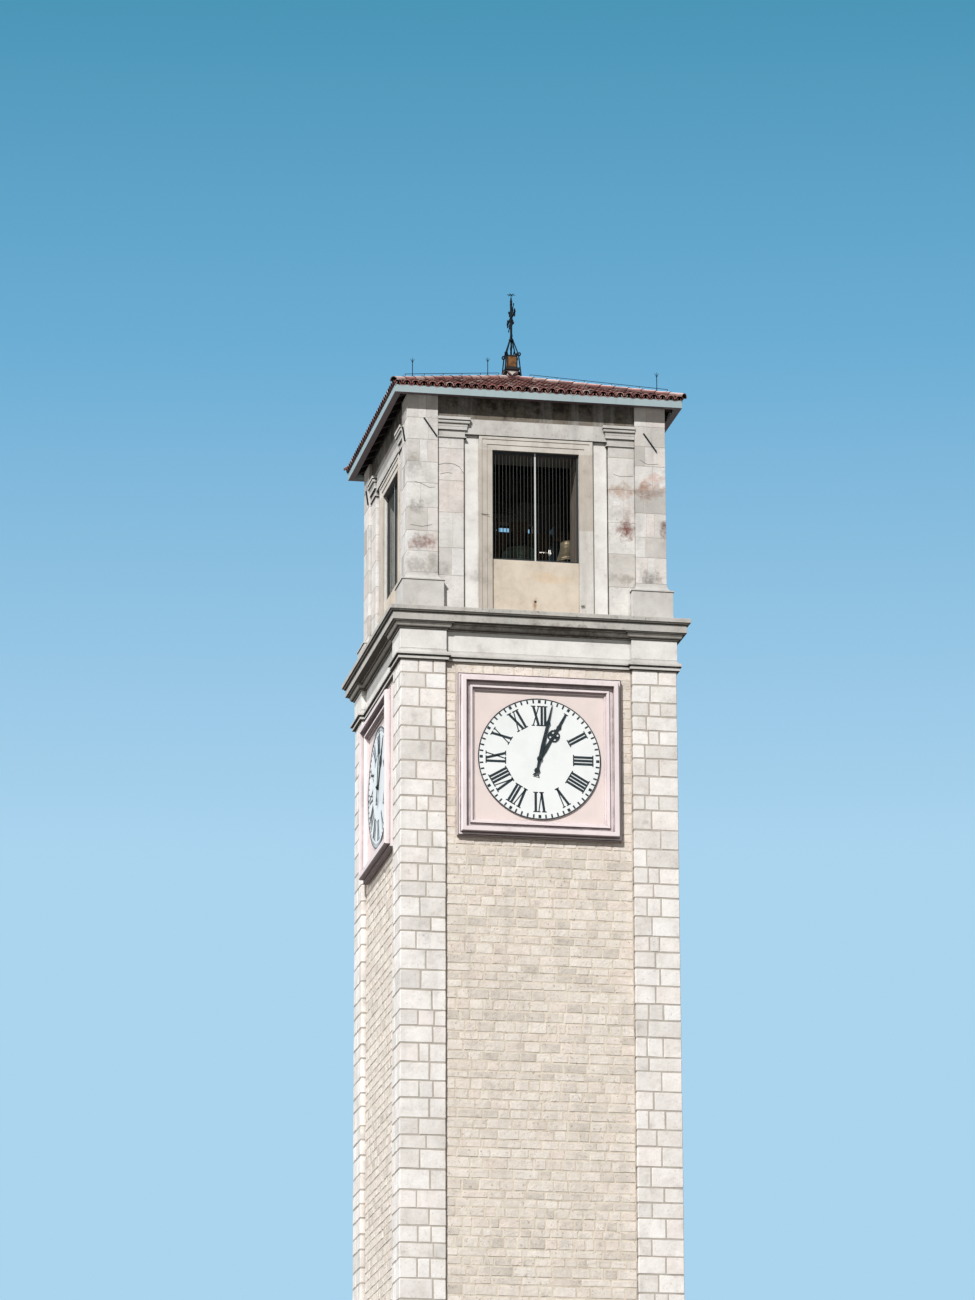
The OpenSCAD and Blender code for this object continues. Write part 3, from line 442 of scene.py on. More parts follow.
def make_materials(colours):
    """Makes each finish once, under the name of what it is."""
    grey, brown, ochre = "6a6258", "9c8167", "8a6a50"
    # The bell chamber's inner faces, which never see the rain or the sun: painted dark as grime and as the chamber's
    # shade
    inside = ((-2.2, -1.60, LEDGE_Z + 0.1), (2.2, 2.2, WALL_TOP), "4a423a")
    MATERIALS.update({
        # Limestone squared with a chisel: pale, matt and rough, each block its own tone
        "ashlar": stone_finish(
            "tooled_limestone", colours.ashlar, brown, specks=0.35, grime=0.22, grain=1.3, tone_spread=0.45, soot=0.6,
        ),
        # Limestone rubbed smooth: finer, with faint veins, wider tones from block to block, and red and grey stains
        "high_ashlar": stone_finish(
            "smooth_limestone", colours.high_ashlar, brown, specks=0.3, grime=0.42, grain=0.8, tone_spread=0.9,
            soot=0.7, veins=0.3, zones=[inside],
            patches=[
                ((2.32, -2.67, 33.70), (0.32, 0.3, 0.18), "b08c78", 0.85),
                ((2.42, -2.67, 33.95), (0.22, 0.3, 0.16), "d9b8ac", 0.9),
                ((-2.36, -2.67, 32.33), (0.26, 0.3, 0.17), "86564c", 0.85),
                ((1.76, -2.61, 33.66), (0.28, 0.3, 0.15), "bb9c86", 0.8),
                ((1.84, -2.61, 32.86), (0.17, 0.3, 0.27), "87564c", 1.0),
                ((-2.50, -2.67, 33.08), (0.20, 0.3, 0.16), "86827d", 0.8),
                ((-2.30, -2.67, 31.85), (0.50, 0.3, 0.22), "a5a19b", 0.7),
                ((1.74, -2.61, 31.80), (0.30, 0.3, 0.12), "b3aea8", 0.7),
                ((2.28, -2.67, 31.82), (0.24, 0.3, 0.16), "8a847d", 0.8),
                ((2.66, -2.67, 32.85), (0.10, 0.3, 0.22), "7d5650", 0.9),
                ((1.80, -2.61, 33.20), (0.30, 0.3, 0.16), "bcb8b2", 0.6),
                ((-2.62, -2.67, 34.00), (0.22, 0.3, 0.30), "9c9893", 0.6),
            ],
        ),
        # Limestone broken with a hammer: yellowish and deep, so that each small stone catches the light
        "rubble": stone_finish(
            "broken_limestone", colours.rubble, ochre, specks=0.6, grime=0.20, grain=2.4, tone_spread=0.5, soot=0.6,
        ),
        # Lime and sand struck back from the stones' faces: flat beige lines in shadow
        "mortar": stone_finish(
            "lime_mortar", colours.mortar, grey, specks=0.3, grime=0.3, grain=0.6, tone_spread=0.0, soot=0.5,
            zones=[inside],
        ),
        # Lime and coarse sand spread nearly flush: sandy, as rough as the small stones, so the joints are faint
        "bay_mortar": stone_finish(
            "flush_lime_mortar", colours.bay_mortar, ochre, specks=0.6, grime=0.25, grain=2.0, tone_spread=0.0,
            soot=0.5,
        ),
        # Fine lime putty in tight joints: thin pale lines
        "pale_mortar": stone_finish(
            "fine_lime_mortar", colours.pale_mortar, grey, specks=0.3, grime=0.3, grain=0.4, tone_spread=0.0,
            soot=0.5, zones=[inside],
        ),
        # Limestone dragged smooth: even and pale, with black soot and painted shade in its mouldings
        "dressed": stone_finish(
            "dressed_limestone", colours.dressed, grey, specks=0.20, grime=0.25, grain=0.5, tone_spread=0.5, soot=1.0,
        ),
        # The same where the eaves keep the rain off: brown with soot and painted shade, and a painted eaves' shadow
        # darkest under the roof
        "band": stone_finish(
            "sooty_limestone_with_painted_shade", colours.dressed, grey, specks=0.45, grime=0.55, grain=0.7, tone_spread=0.5, soot=0.9,
            patches=[((0.0, 0.0, WALL_TOP), (9.0, 9.0, 0.36), "2e2924", 0.85)],
            zones=[((-2.7, -2.7, PILASTER_TOP), (2.7, 2.7, WALL_TOP), "8b8378"), inside],
        ),
        # Limestone that the rain washes: nearly white, and a dull brown painted shade on the window reveals behind the
        # surrounds
        "pale": stone_finish(
            "pale_limestone", colours.pale, grey, specks=0.12, grime=0.15, grain=0.5, tone_spread=0.3, soot=0.8,
            zones=[((-2.3, -2.32, LEDGE_Z + 0.1), (2.3, 2.3, WALL_TOP), "8a7e72"), inside],
        ),
        # Limestone under years of rain: grey, streaked and specked with black, and blackest below the window, in
        # patches under the crown that are soot and painted shade
        "weathered": stone_finish(
            "weathered_limestone", colours.weathered, "4a443c", specks=0.6, grime=0.8, grain=0.8, tone_spread=0.5,
            soot=1.0,
            patches=[
                ((0.0, -2.85, 30.52), (1.9, 0.4, 0.16), "5a4d42", 0.7),
                ((1.05, -2.85, 30.37), (0.95, 0.4, 0.12), "3d342d", 0.8),
            ],
        ),
        # Limestone sawn flat: beige and even, whiter over the windows and where one jamb is new
        "warm": stone_finish(
            "sawn_limestone", colours.warm, brown, specks=0.12, grime=0.30, grain=0.35, tone_spread=0.4, soot=0.8,
            zones=[
                ((-3, -3, SCREEN_HIGH.z), (3, 3, WALL_TOP), "ece8e1"),
                ((0.5, -3, LEDGE_Z), (1.3, -2.3, 32.78), "efede9"),
            ],
        ),
        # Lime render floated smooth: soft beige, with a faint damp patch and a rust stain below the weep hole
        "parapet": stone_finish(
            "lime_render", colours.parapet, brown, specks=0.05, grime=0.18, grain=0.3, tone_spread=0.0, soot=0.7,
            patches=[
                ((0.26, -2.5, 31.78), (0.42, 0.3, 0.12), "dcbf9c", 0.5),
                ((-0.015, -2.5, 31.20), (0.06, 0.3, 0.12), "9a6a44", 0.8),
            ],
        ),
        # Soft limestone gone to powder: chalk white and dirty in spots
        "chalk": stone_finish(
            "chalky_limestone", linear("e9e8e4"), grey, specks=0.3, grime=0.4, grain=0.6, tone_spread=0.0, soot=0.6,
        ),
        # Lime paint brushed on a render moulding: flat mauve, faded in clouds, with soot and purple-black painted
        # shade in its deep steps
        "mauve": painted_finish(
            "mauve_limewash", colours.mauve, "c2aeae", wear=0.25, roughness=0.6, bump=0.002, soot=0.9,
        ),
        # Lime paint brushed on flat render: pale pink and nearly even, with soot and painted shade in its corners
        "pink": painted_finish(
            "pink_limewash", colours.pink, "dcc6be", wear=0.25, roughness=0.6, bump=0.002, soot=0.4,
        ),
        # Vitreous enamel fired on sheet: white and smooth, with a soft gloss
        "enamel": painted_finish("white_enamel", colours.enamel, "e2e5e3", wear=0.15, roughness=0.35, bump=0.0004),
        # Black enamel painted on: dark and even, less glossy than the dial
        "figures": painted_finish("black_enamel", colours.figures, "4b5554", wear=0.3, roughness=0.45, bump=0.0006),
        # Cut steel blackened in oil: dark, with a dull sheen
        "hands": metal_finish("blackened_steel", colours.figures, "4a4f4a", oxide=0.4, metallic=0.3, roughness=0.5),
        # Unglazed clay pressed and fired: matt red, no two tiles alike
        "clay": clay_finish("fired_clay", colours.tile),
        # The same clay bedded in lime: white along the tops of the hips
        "limed_clay": clay_finish("limed_clay", colours.tile, 0.95),
        # Folded sheet steel under paint: blue-grey and smooth, half matt, with soot and painted shade black under its
        # lip
        "gutter": painted_finish(
            "painted_sheet_steel", colours.gutter, "7f8f92", wear=0.3, roughness=0.45, bump=0.0008, soot=1.0,
        ),
        # Steel section under paint: nearly black, which leaves the pale post to stand out
        "screen": screen_finish("screen_steel"),
        # Drawn steel rod: grey-brown and dull, so the bars melt into the dark of the chamber
        "bars": painted_finish("dull_bar_steel", linear("3d3f39"), "2a241f", wear=0.4, roughness=0.6, bump=0.0004),
        # Rolled steel under grey paint: even, with dull streaks
        "steel": painted_finish("painted_steel", linear("565b5c"), "4a423a", wear=0.4, roughness=0.5, bump=0.0006),
        # Rolled sheet iron gone black: dull, brown in spots
        "plate": metal_finish(
            "blackened_sheet", linear("23201e"), "4a3020", oxide=0.4, metallic=0.4, roughness=0.6,
        ),
        # Iron forged by hand under old black paint: dark, hardly a shine, a trace of rust
        "iron": metal_finish("wrought_iron", colours.iron, "7a4b2c", oxide=0.04, metallic=0.0, roughness=0.7),
        # Bare sheet steel: orange-brown with dark brown patches, rough
        "rusty": metal_finish(
            "oxidised_sheet", linear("85592e"), "3c2412", oxide=0.85, metallic=0.3, roughness=0.6,
        ),
        # Bronze as it left the mould: dull brown metal, green-grey in patches
        "bronze": metal_finish(
            "cast_bell_bronze", colours.bronze, "4f5b49", oxide=0.45, metallic=0.85, roughness=0.42,
        ),
        # The bell bronze painted paler for the small bell, as painted light: pale metal with brown patches, so that
        # its lip and shoulder gleam
        "bright_bronze": metal_finish(
            "bell_bronze_painted_lit", linear("a89a82"), "4d4436", oxide=0.5, metallic=0.85, roughness=0.34,
        ),
        # Sawn fir left to the weather: nearly black, partly its weathering and partly painted shade under the eaves,
        # its grain up the slope
        "timber": timber_finish("weathered_fir_and_painted_shade", colours.timber, "Y"),
        # Planed and oiled oak: warm brown, its grain along the beam
        "oak": timber_finish("oiled_oak", linear("6b5138"), "X"),
        # Oak planks under old stain: dark brown, their grain upright
        "door": timber_finish("stained_oak_planks", linear("5d4330"), "Z"),
        # The shade inside a crack, painted: dull brown-black
        "cracks": painted_finish("shadow_of_a_crack", linear("3a332d"), "2a2420", wear=0.3, roughness=0.9, bump=0.002),
    })


# Modelling


def pick(*pieces):
    """Picks these objects and no others, the first as the active one."""
    bpy.ops.object.select_all(action="DESELECT")
    for piece in pieces:
        piece.select_set(True)
    bpy.context.view_layer.objects.active = pieces[0]


def start_edit(piece):
    """Goes into edit mode on one piece with nothing picked."""
    pick(piece)
    bpy.ops.object.mode_set(mode="EDIT")
    bpy.ops.mesh.select_all(action="DESELECT")


def pick_faces(piece, test):
    """Picks, in edit mode, the faces whose middle and normal pass the test."""
    bpy.ops.mesh.select_mode(type="FACE")
    bpy.ops.mesh.select_all(action="DESELECT")
    shape = bmesh.from_edit_mesh(piece.data)
    for face in shape.faces:
        face.select_set(test(face.calc_center_median(), face.normal))
    bmesh.update_edit_mesh(piece.data)


def end_edit():
    """Goes back to object mode."""
    bpy.ops.object.mode_set(mode="OBJECT")


def settle(piece):
    """Puts a piece's place, turn and size into its mesh, and its object at the origin."""
    pick(piece)
    bpy.ops.object.transform_apply(location=True, rotation=True, scale=True)


def ride(piece, material, *replaced, body="tower", slot=None):
    """Finishes a piece: its material, the body that it moves with and the CAD nodes that it stands for."""
    if not isinstance(material, (list, tuple)):
        material = [material]
    for name in material:
        piece.data.materials.append(MATERIALS[name])
    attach(piece, body)
    if replaced:
        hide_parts(*replaced)
    return piece


def take(piece):
    """Points and faces of a modelled unit, which is then deleted."""
    settle(piece)
    points = np.array([v.co for v in piece.data.vertices], float)
    faces = [tuple(p.vertices) for p in piece.data.polygons]
    mesh = piece.data
    bpy.data.objects.remove(piece)
    bpy.data.meshes.remove(mesh)
    return points, faces


class Stack:
    """Gathers copies of modelled units into one mesh, each copy with its own tone."""

    def __init__(self):
        self.points, self.faces, self.tones, self.slots, self.count = [], [], [], [], 0

    def put(self, copies, faces, tones, slot=0):
        """Adds copies, an array of copies by points by 3, of a unit with these faces."""
        copies = np.asarray(copies, float)
        tones = np.broadcast_to(tones, len(copies))
        for points, tone in zip(copies, tones):
            self.points.append(points)
            self.faces += [tuple(v + self.count for v in face) for face in faces]
            self.slots += [slot] * len(faces)
            self.tones.append(np.full(len(points), tone))
            self.count += len(points)

    def build(self, name):
        """Makes the mesh and its object, with the tones as an attribute for the finishes."""
        mesh = bpy.data.meshes.new(name)
        mesh.from_pydata(np.concatenate(self.points).tolist(), [], self.faces)
        mesh.polygons.foreach_set("material_index", self.slots)
        tone = mesh.attributes.new("tone", "FLOAT", "POINT")
        tone.data.foreach_set("value", np.concatenate(self.tones).astype(np.float32))
        piece = bpy.data.objects.new(name, mesh)
        bpy.context.scene.collection.objects.link(piece)
        return piece


def turned(points, degrees):
    """Points turned about the tower's axis."""
    a = math.radians(degrees)
    turn = np.array([[math.cos(a), math.sin(a), 0], [-math.sin(a), math.cos(a), 0], [0, 0, 1]])
    return points @ turn


def placed(points, matrices):
    """One copy of the points for each matrix."""
    full = np.hstack([points, np.ones((len(points), 1))])
    return np.stack([(full @ np.array(m).T)[:, :3] for m in matrices])


def block_unit(worn, open_back=False):
    """A one metre block with worn edges, which fitted() brings to any size. An open back is the +Y side."""
    bpy.ops.mesh.primitive_cube_add(size=1)
    piece = bpy.context.active_object
    start_edit(piece)
    bpy.ops.mesh.select_all(action="SELECT")
    bpy.ops.mesh.bevel(offset=worn, segments=1, affect="EDGES")
    if open_back:
        pick_faces(piece, lambda middle, normal: middle.y > 0.4)
        bpy.ops.mesh.delete(type="FACE")
    end_edit()
    return take(piece)


def fitted(unit, lows, highs, jitter=0.0, rng=None):
    """Copies of a unit block that fill boxes from lows to highs, with the worn edge kept its own width.
    Each corner may lie back from the box by up to the jitter, as a hand-cut stone's does."""
    points = unit[0]
    lows, highs = np.asarray(lows, float), np.asarray(highs, float)
    side = np.sign(points)
    inset = 0.5 - np.abs(points)
    middles, sizes = (lows + highs) / 2, highs - lows
    copies = side[None] * (sizes[:, None] / 2 - inset[None])
    if jitter:
        corner = ((side > 0) @ np.array([1, 2, 4])).astype(int)
        back = rng.uniform(0, jitter, (len(lows), 8, 3))
        copies -= side[None] * back[:, corner]
    return copies + middles[:, None]


def course_lines(low, high, usual, spread, rng):
    """Lines that split low to high into parts near the usual size, filling it exactly."""
    lines = [low]
    while lines[-1] < high - usual / 2:
        lines.append(lines[-1] + usual + rng.uniform(-spread, spread))
    share = (high - low) / (lines[-1] - low)
    return [low + (z - low) * share for z in lines]


def spun(name, outline, segments):
    """A round piece: an outline of radius and height, turned about the Z axis."""
    mesh = bpy.data.meshes.new(name)
    mesh.from_pydata([(r, 0, z) for r, z in outline], [(i, i + 1) for i in range(len(outline) - 1)], [])
    piece = bpy.data.objects.new(name, mesh)
    bpy.context.scene.collection.objects.link(piece)
    start_edit(piece)
    bpy.ops.mesh.select_all(action="SELECT")
    bpy.ops.mesh.spin(steps=segments, angle=math.tau, center=(0, 0, 0), axis=(0, 0, 1))
    bpy.ops.mesh.select_all(action="SELECT")
    bpy.ops.mesh.remove_doubles(threshold=0.0002)
    bpy.ops.mesh.normals_make_consistent(inside=False)
    end_edit()
    return piece


def joined(name, parts):
    """Several objects made one, with its places in its mesh."""
    pick(*parts)
    bpy.ops.object.join()
    piece = bpy.context.active_object
    piece.name = name
    settle(piece)
    return piece


def on_side(turn, face, height=0.0):
    """Matrix from a drawing on the wall, X to the right, Y up and Z out, to a side of the tower."""
    upright = Matrix.Rotation(math.radians(90), 4, "X")
    return Matrix.Rotation(math.radians(turn), 4, "Z") @ Matrix.Translation((0, -face, height)) @ upright


def finish_node(name, material, edge=0.0):
    """Gives a CAD node its finish, and worn edges of a width where the real piece has them."""
    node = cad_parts[name]
    node.data.materials.clear()
    node.data.materials.append(MATERIALS[material])
    if edge:
        weld = node.modifiers.new("weld", "WELD")
        weld.merge_threshold = 0.0002
        bevel = node.modifiers.new("worn_edges", "BEVEL")
        bevel.width = edge
        bevel.segments = 2
        bevel.limit_method = "ANGLE"
        bevel.angle_limit = math.radians(35)
    return node


# Shaft


def pier_blocks(width, z_lines, rng):
    """Corners of the squared blocks round a pier drawn about its own middle, its outer corner at +X and -Y."""
    half = width / 2
    blocks = []
    for step, (z0, z1) in enumerate(zip(z_lines, z_lines[1:])):
        # The corner block shows its long side and its short side in turn, and the rest of each face is one or two
        long, short = width * rng.uniform(0.55, 0.74), width * rng.uniform(0.34, 0.46)
        reach_x, reach_y = (long, short) if step % 2 else (short, long)
        blocks.append(((half - reach_x, -half, z0), (half, -half + reach_y, z1)))
        front = [-half, half - reach_x]
        side = [-half + reach_y, half]
        for row in (front, side):
            if row[1] - row[0] > width * 0.5 and rng.random() < 0.6:
                row.insert(1, row[0] + (row[1] - row[0]) * rng.uniform(0.38, 0.62))
        for x0, x1 in zip(front, front[1:]):
            blocks.append(((x0, -half, z0), (x1, -half + reach_y, z1)))
        for y0, y1 in zip(side, side[1:]):
            blocks.append(((half - reach_x, y0, z0), (half, y1, z1)))
    return np.array(blocks)


def corner_masonry(name, outer_half, width, levels, course, joint, depth, worn, jitter, rng):
    """The four piers of squared blocks at the corners of a square plan, with mortar between the blocks.
    The levels are the piers' foot and top, and the course is a usual height and its spread."""
    unit = block_unit(worn)
    plain = block_unit(PLAIN_EDGE)
    stack = Stack()
    gap = joint / 2
    for turn in TURNS:
        z_lines = course_lines(*levels, *course, rng)
        blocks = pier_blocks(width, z_lines, rng)
        middle = np.array([outer_half - width / 2, -outer_half + width / 2, 0])
        lows, highs = blocks[:, 0] + gap, blocks[:, 1] - gap
        # The blocks' outer faces stay on the pier's own faces, with no joint taken off
        lows[:, :2] = np.where(blocks[:, 0, :2] <= -width / 2 + 1e-6, blocks[:, 0, :2], lows[:, :2])
        highs[:, :2] = np.where(blocks[:, 1, :2] >= width / 2 - 1e-6, blocks[:, 1, :2], highs[:, :2])
        copies = fitted(unit, lows + middle, highs + middle, jitter, rng)
        stack.put(turned(copies, -turn), unit[1], rng.random(len(copies)))
        back = width / 2 - depth
        core = fitted(plain, [middle + (-back, -back, z_lines[0])], [middle + (back, back, z_lines[-1])])
        stack.put(turned(core, -turn), plain[1], 0.5, slot=1)
    return stack.build(name)


def clear_spans(turn, z):
    """Stretches of a bay at a height that neither the clock nor the doorway covers."""
    if CLOCK_LOW < z < CLOCK_HIGH:
        return [(-BAY_HALF, -CLOCK_HALF), (CLOCK_HALF, BAY_HALF)]
    if turn == SIDES["back"] and z < GATE_HIGH.z:
        return [(-BAY_HALF, GATE_LOW.x), (GATE_HIGH.x, BAY_HALF)]
    return [(-BAY_HALF, BAY_HALF)]


def bay_masonry(name, turn, stone, seed):
    """One bay's small stones, in courses that break at the doorway and the clock."""
    rng = np.random.default_rng(seed)
    unit = block_unit(stone.worn_edge, open_back=True)
    plain = block_unit(PLAIN_EDGE)
    stack = Stack()
    breaks = [SHAFT_FOOT, GATE_HIGH.z, CLOCK_LOW, CLOCK_HIGH, SHAFT_TOP]
    boxes = []
    for low, high in zip(breaks, breaks[1:]):
        z_lines = course_lines(low, high, stone.bay_course, stone.bay_course_spread, rng)
        for z0, z1 in zip(z_lines, z_lines[1:]):
            for left, right in clear_spans(turn, (z0 + z1) / 2):
                usual = stone.bay_stone * rng.uniform(0.75, 1.3)
                x_lines = course_lines(left, right, usual, usual * 0.4, rng)
                boxes += [((x0, z0), (x1, z1)) for x0, x1 in zip(x_lines, x_lines[1:])]
    boxes = np.array(boxes)
    gap = stone.joint / 2
    # The stones go a little way into the mortar, which fills the rest of the wall
    bed = WALL_FACE - 4 * stone.joint_depth
    lows = np.column_stack([boxes[:, 0, 0] + gap, np.full(len(boxes), -WALL_FACE), boxes[:, 0, 1] + gap])
    highs = np.column_stack([boxes[:, 1, 0] - gap, np.full(len(boxes), -bed), boxes[:, 1, 1] - gap])
    copies = fitted(unit, lows, highs, BAY_JITTER, rng)
    stack.put(turned(copies, -turn), unit[1], rng.random(len(copies)))
    face = WALL_FACE - stone.joint_depth
    gate = GATE_HIGH if turn == SIDES["back"] else None
    foot = gate.z if gate else SHAFT_FOOT
    core = [((-BAY_HALF, -face, foot), (BAY_HALF, -INNER_FACE, SHAFT_TOP))]
    if gate:
        core += [((-BAY_HALF, -face, SHAFT_FOOT), (GATE_LOW.x, -INNER_FACE, foot))]
        core += [((GATE_HIGH.x, -face, SHAFT_FOOT), (BAY_HALF, -INNER_FACE, foot))]
    lows, highs = zip(*core)
    stack.put(turned(fitted(plain, lows, highs), -turn), plain[1], 0.5, slot=1)
    return stack.build(name)


class TOWER_OT_shaft(Operator):
    """Lays the squared blocks of the corner piers and the small stones of the bays"""

    bl_idname = "tower.shaft"
    bl_label = "Shaft Masonry"

    def execute(self, context):
        stone = context.scene.tower_stone
        piers = corner_masonry(
            "corner_pier_blocks", HALF_W, HALF_W - BAY_HALF, (SHAFT_FOOT, SHAFT_TOP),
            (stone.pier_course, stone.pier_course_spread), stone.joint, stone.joint_depth, stone.worn_edge,
            PIER_JITTER, np.random.default_rng(12),
        )
        ride(piers, ["ashlar", "mortar"], "shaft_corner_piers", slot="quoin_stone")
        for step, (side, turn) in enumerate(SIDES.items()):
            bay = bay_masonry("shaft_" + side + "_stones", turn, stone, 20 + step)
            ride(bay, ["rubble", "bay_mortar"], "shaft_" + side + "_wall", slot="rubble")
        finish_node("base_plinth", "weathered", 0.015)
        finish_node("door_surround", "dressed", 0.01)
        finish_node("entrance_door", "door")
        return {"FINISHED"}


class TOWER_OT_entablature(Operator):
    """Finishes the architrave, frieze and cornice with soot and painted shade, rain streaks and worn edges"""

    bl_idname = "tower.entablature"
    bl_label = "Entablature"

    def execute(self, context):
        finish_node("architrave", "dressed", 0.006)
        finish_node("frieze", "pale", 0.006)
        finish_node("cornice", "weathered", 0.006)
        return {"FINISHED"}


# Clock

# Strokes of each letter: start, end and whether thick, in units of the numeral's height
LETTERS = {
    "I": (0.175, [((0.0, 0.0), (0.0, 1.0), True)]),
    "V": (0.42, [((-0.14, 1.0), (0.0, 0.0), True), ((0.14, 1.0), (0.0, 0.0), False)]),
    "X": (0.42, [((-0.14, 1.0), (0.14, 0.0), True), ((0.14, 1.0), (-0.14, 0.0), False)]),
}
NUMERALS = ["XII", "I", "II", "III", "IIII", "V", "VI", "VII", "VIII", "IX", "X", "XI"]
# How far a letter's foot is wider than its stroke
SERIF = 0.045
# Height and width of the marks of the minute ring
HOUR_MARK = (0.066, 0.056)
MINUTE_MARK = (0.074, 0.032)
# Radius of the round edge on the dial's rim, how far the rim laps the dial, and how far it goes back
RIM_TUBE = 0.012
RIM_LAP = 0.004
RIM_DEPTH = 0.030
# The surround's outer fillet, as a share of the surround's depth, and the seam round it
FILLET_SHARE = 0.48
SEAM_IN = 0.013
SEAM_W = 0.016
# Thickness of the thin dark lines, painted shadows, that stand for open seams and cracks
LINE_T = 0.002


def stroke(start, end, width, depth):
    """Matrix that brings a unit cube to a flat bar from start to end, both drawn on a face."""
    start, end = Vector(start), Vector(end)
    way = end - start
    middle = (start + end) / 2
    turn = Matrix.Rotation(math.atan2(way.y, way.x), 4, "Z")
    size = Matrix.Diagonal((way.length, width, depth, 1))
    return Matrix.Translation((middle.x, middle.y, depth / 2)) @ turn @ size


def numeral(letters, clock):
    """Bars of one numeral, upright about its own middle line."""
    height = clock.numeral_out - clock.numeral_in
    widths = [LETTERS[letter][0] for letter in letters]
    at = -sum(widths) / 2
    bars = []
    for letter, width in zip(letters, widths):
        centre = at + width / 2
        feet = set()
        for start, end, thick in LETTERS[letter][1]:
            w = clock.thick if thick else clock.thin
            a, b = [((centre + x) * height, clock.numeral_in + y * height) for x, y in (start, end)]
            bars.append(stroke(a, b, w, clock.paint))
            feet |= {(a, w), (b, w)}
        for (x, y), w in feet:
            reach = (w + SERIF) / 2
            bars.append(stroke((x - reach, y), (x + reach, y), clock.thin, clock.paint * 0.9))
        at += width
    return bars


def both(half):
    """An outline from its left half, mirrored to the right."""
    return half + [(-x, y) for x, y in reversed(half) if x]


# Plates and rings of the hands, pointing to twelve: depth, then the outline or the centre and two radii
HANDS = {
    "minute": {
        "angle": 13,
        "plates": [
            (0.0080, both([(-0.034, 0.0), (-0.040, 0.30), (-0.030, 0.70), (-0.048, 0.755), (-0.022, 0.82),
                           (-0.011, 1.08), (0.0, 1.18)])),
            (0.0077, both([(-0.016, -0.30), (-0.034, -0.02), (0.0, 0.03)])),
            (0.0074, both([(-0.070, -0.365), (-0.052, -0.325), (0.0, -0.300), (0.0, -0.340), (-0.030, -0.352)])),
        ],
        "rings": [(0.0120, (0, 0), 0.055, 0.0123), (0.0083, (0, -0.255), 0.058, 0.026)],
    },
    "hour": {
        "angle": 31,
        "plates": [
            (0.0080, both([(-0.042, 0.0), (-0.046, 0.20), (-0.030, 0.47), (0.0, 0.50)])),
            (0.0077, both([(-0.022, 0.60), (-0.018, 0.68), (-0.052, 0.765), (-0.020, 0.84), (-0.009, 0.98),
                           (0.0, 1.06)])),
            (0.0074, both([(-0.014, 0.46), (-0.014, 0.64), (0.0, 0.66)])),
            (0.0071, both([(-0.115, 0.552), (-0.115, 0.570), (0.0, 0.574)])),
        ],
        "rings": [
            (0.0120, (0, 0), 0.055, 0.0123), (0.0083, (0, 0.561), 0.122, 0.098),
            (0.0086, (0.055, 0.616), 0.050, 0.026), (0.0086, (-0.055, 0.616), 0.050, 0.026),
            (0.0086, (0.055, 0.506), 0.050, 0.026), (0.0086, (-0.055, 0.506), 0.050, 0.026),
        ],
    },
}


def plate_of(outline, depth):
    """Points and faces of a flat plate with an outline."""
    n = len(outline)
    points = np.array([(x, y, z) for z in (0.0, depth) for x, y in outline])
    sides = [(i, (i + 1) % n, n + (i + 1) % n, n + i) for i in range(n)]
    return points, [tuple(range(n - 1, -1, -1)), tuple(range(n, 2 * n))] + sides


def ring_of(x, y, outer, inner, depth, steps=40):
    """Points and faces of a flat ring."""
    points, faces = [], []
    for i in range(steps):
        a = math.tau * i / steps
        for r, z in ((outer, 0.0), (outer, depth), (inner, depth), (inner, 0.0)):
            points.append((x + r * math.cos(a), y + r * math.sin(a), z))
        j = (i + 1) % steps
        faces += [(4 * i + k, 4 * j + k, 4 * j + (k + 1) % 4, 4 * i + (k + 1) % 4) for k in range(4)]
    return np.array(points), faces


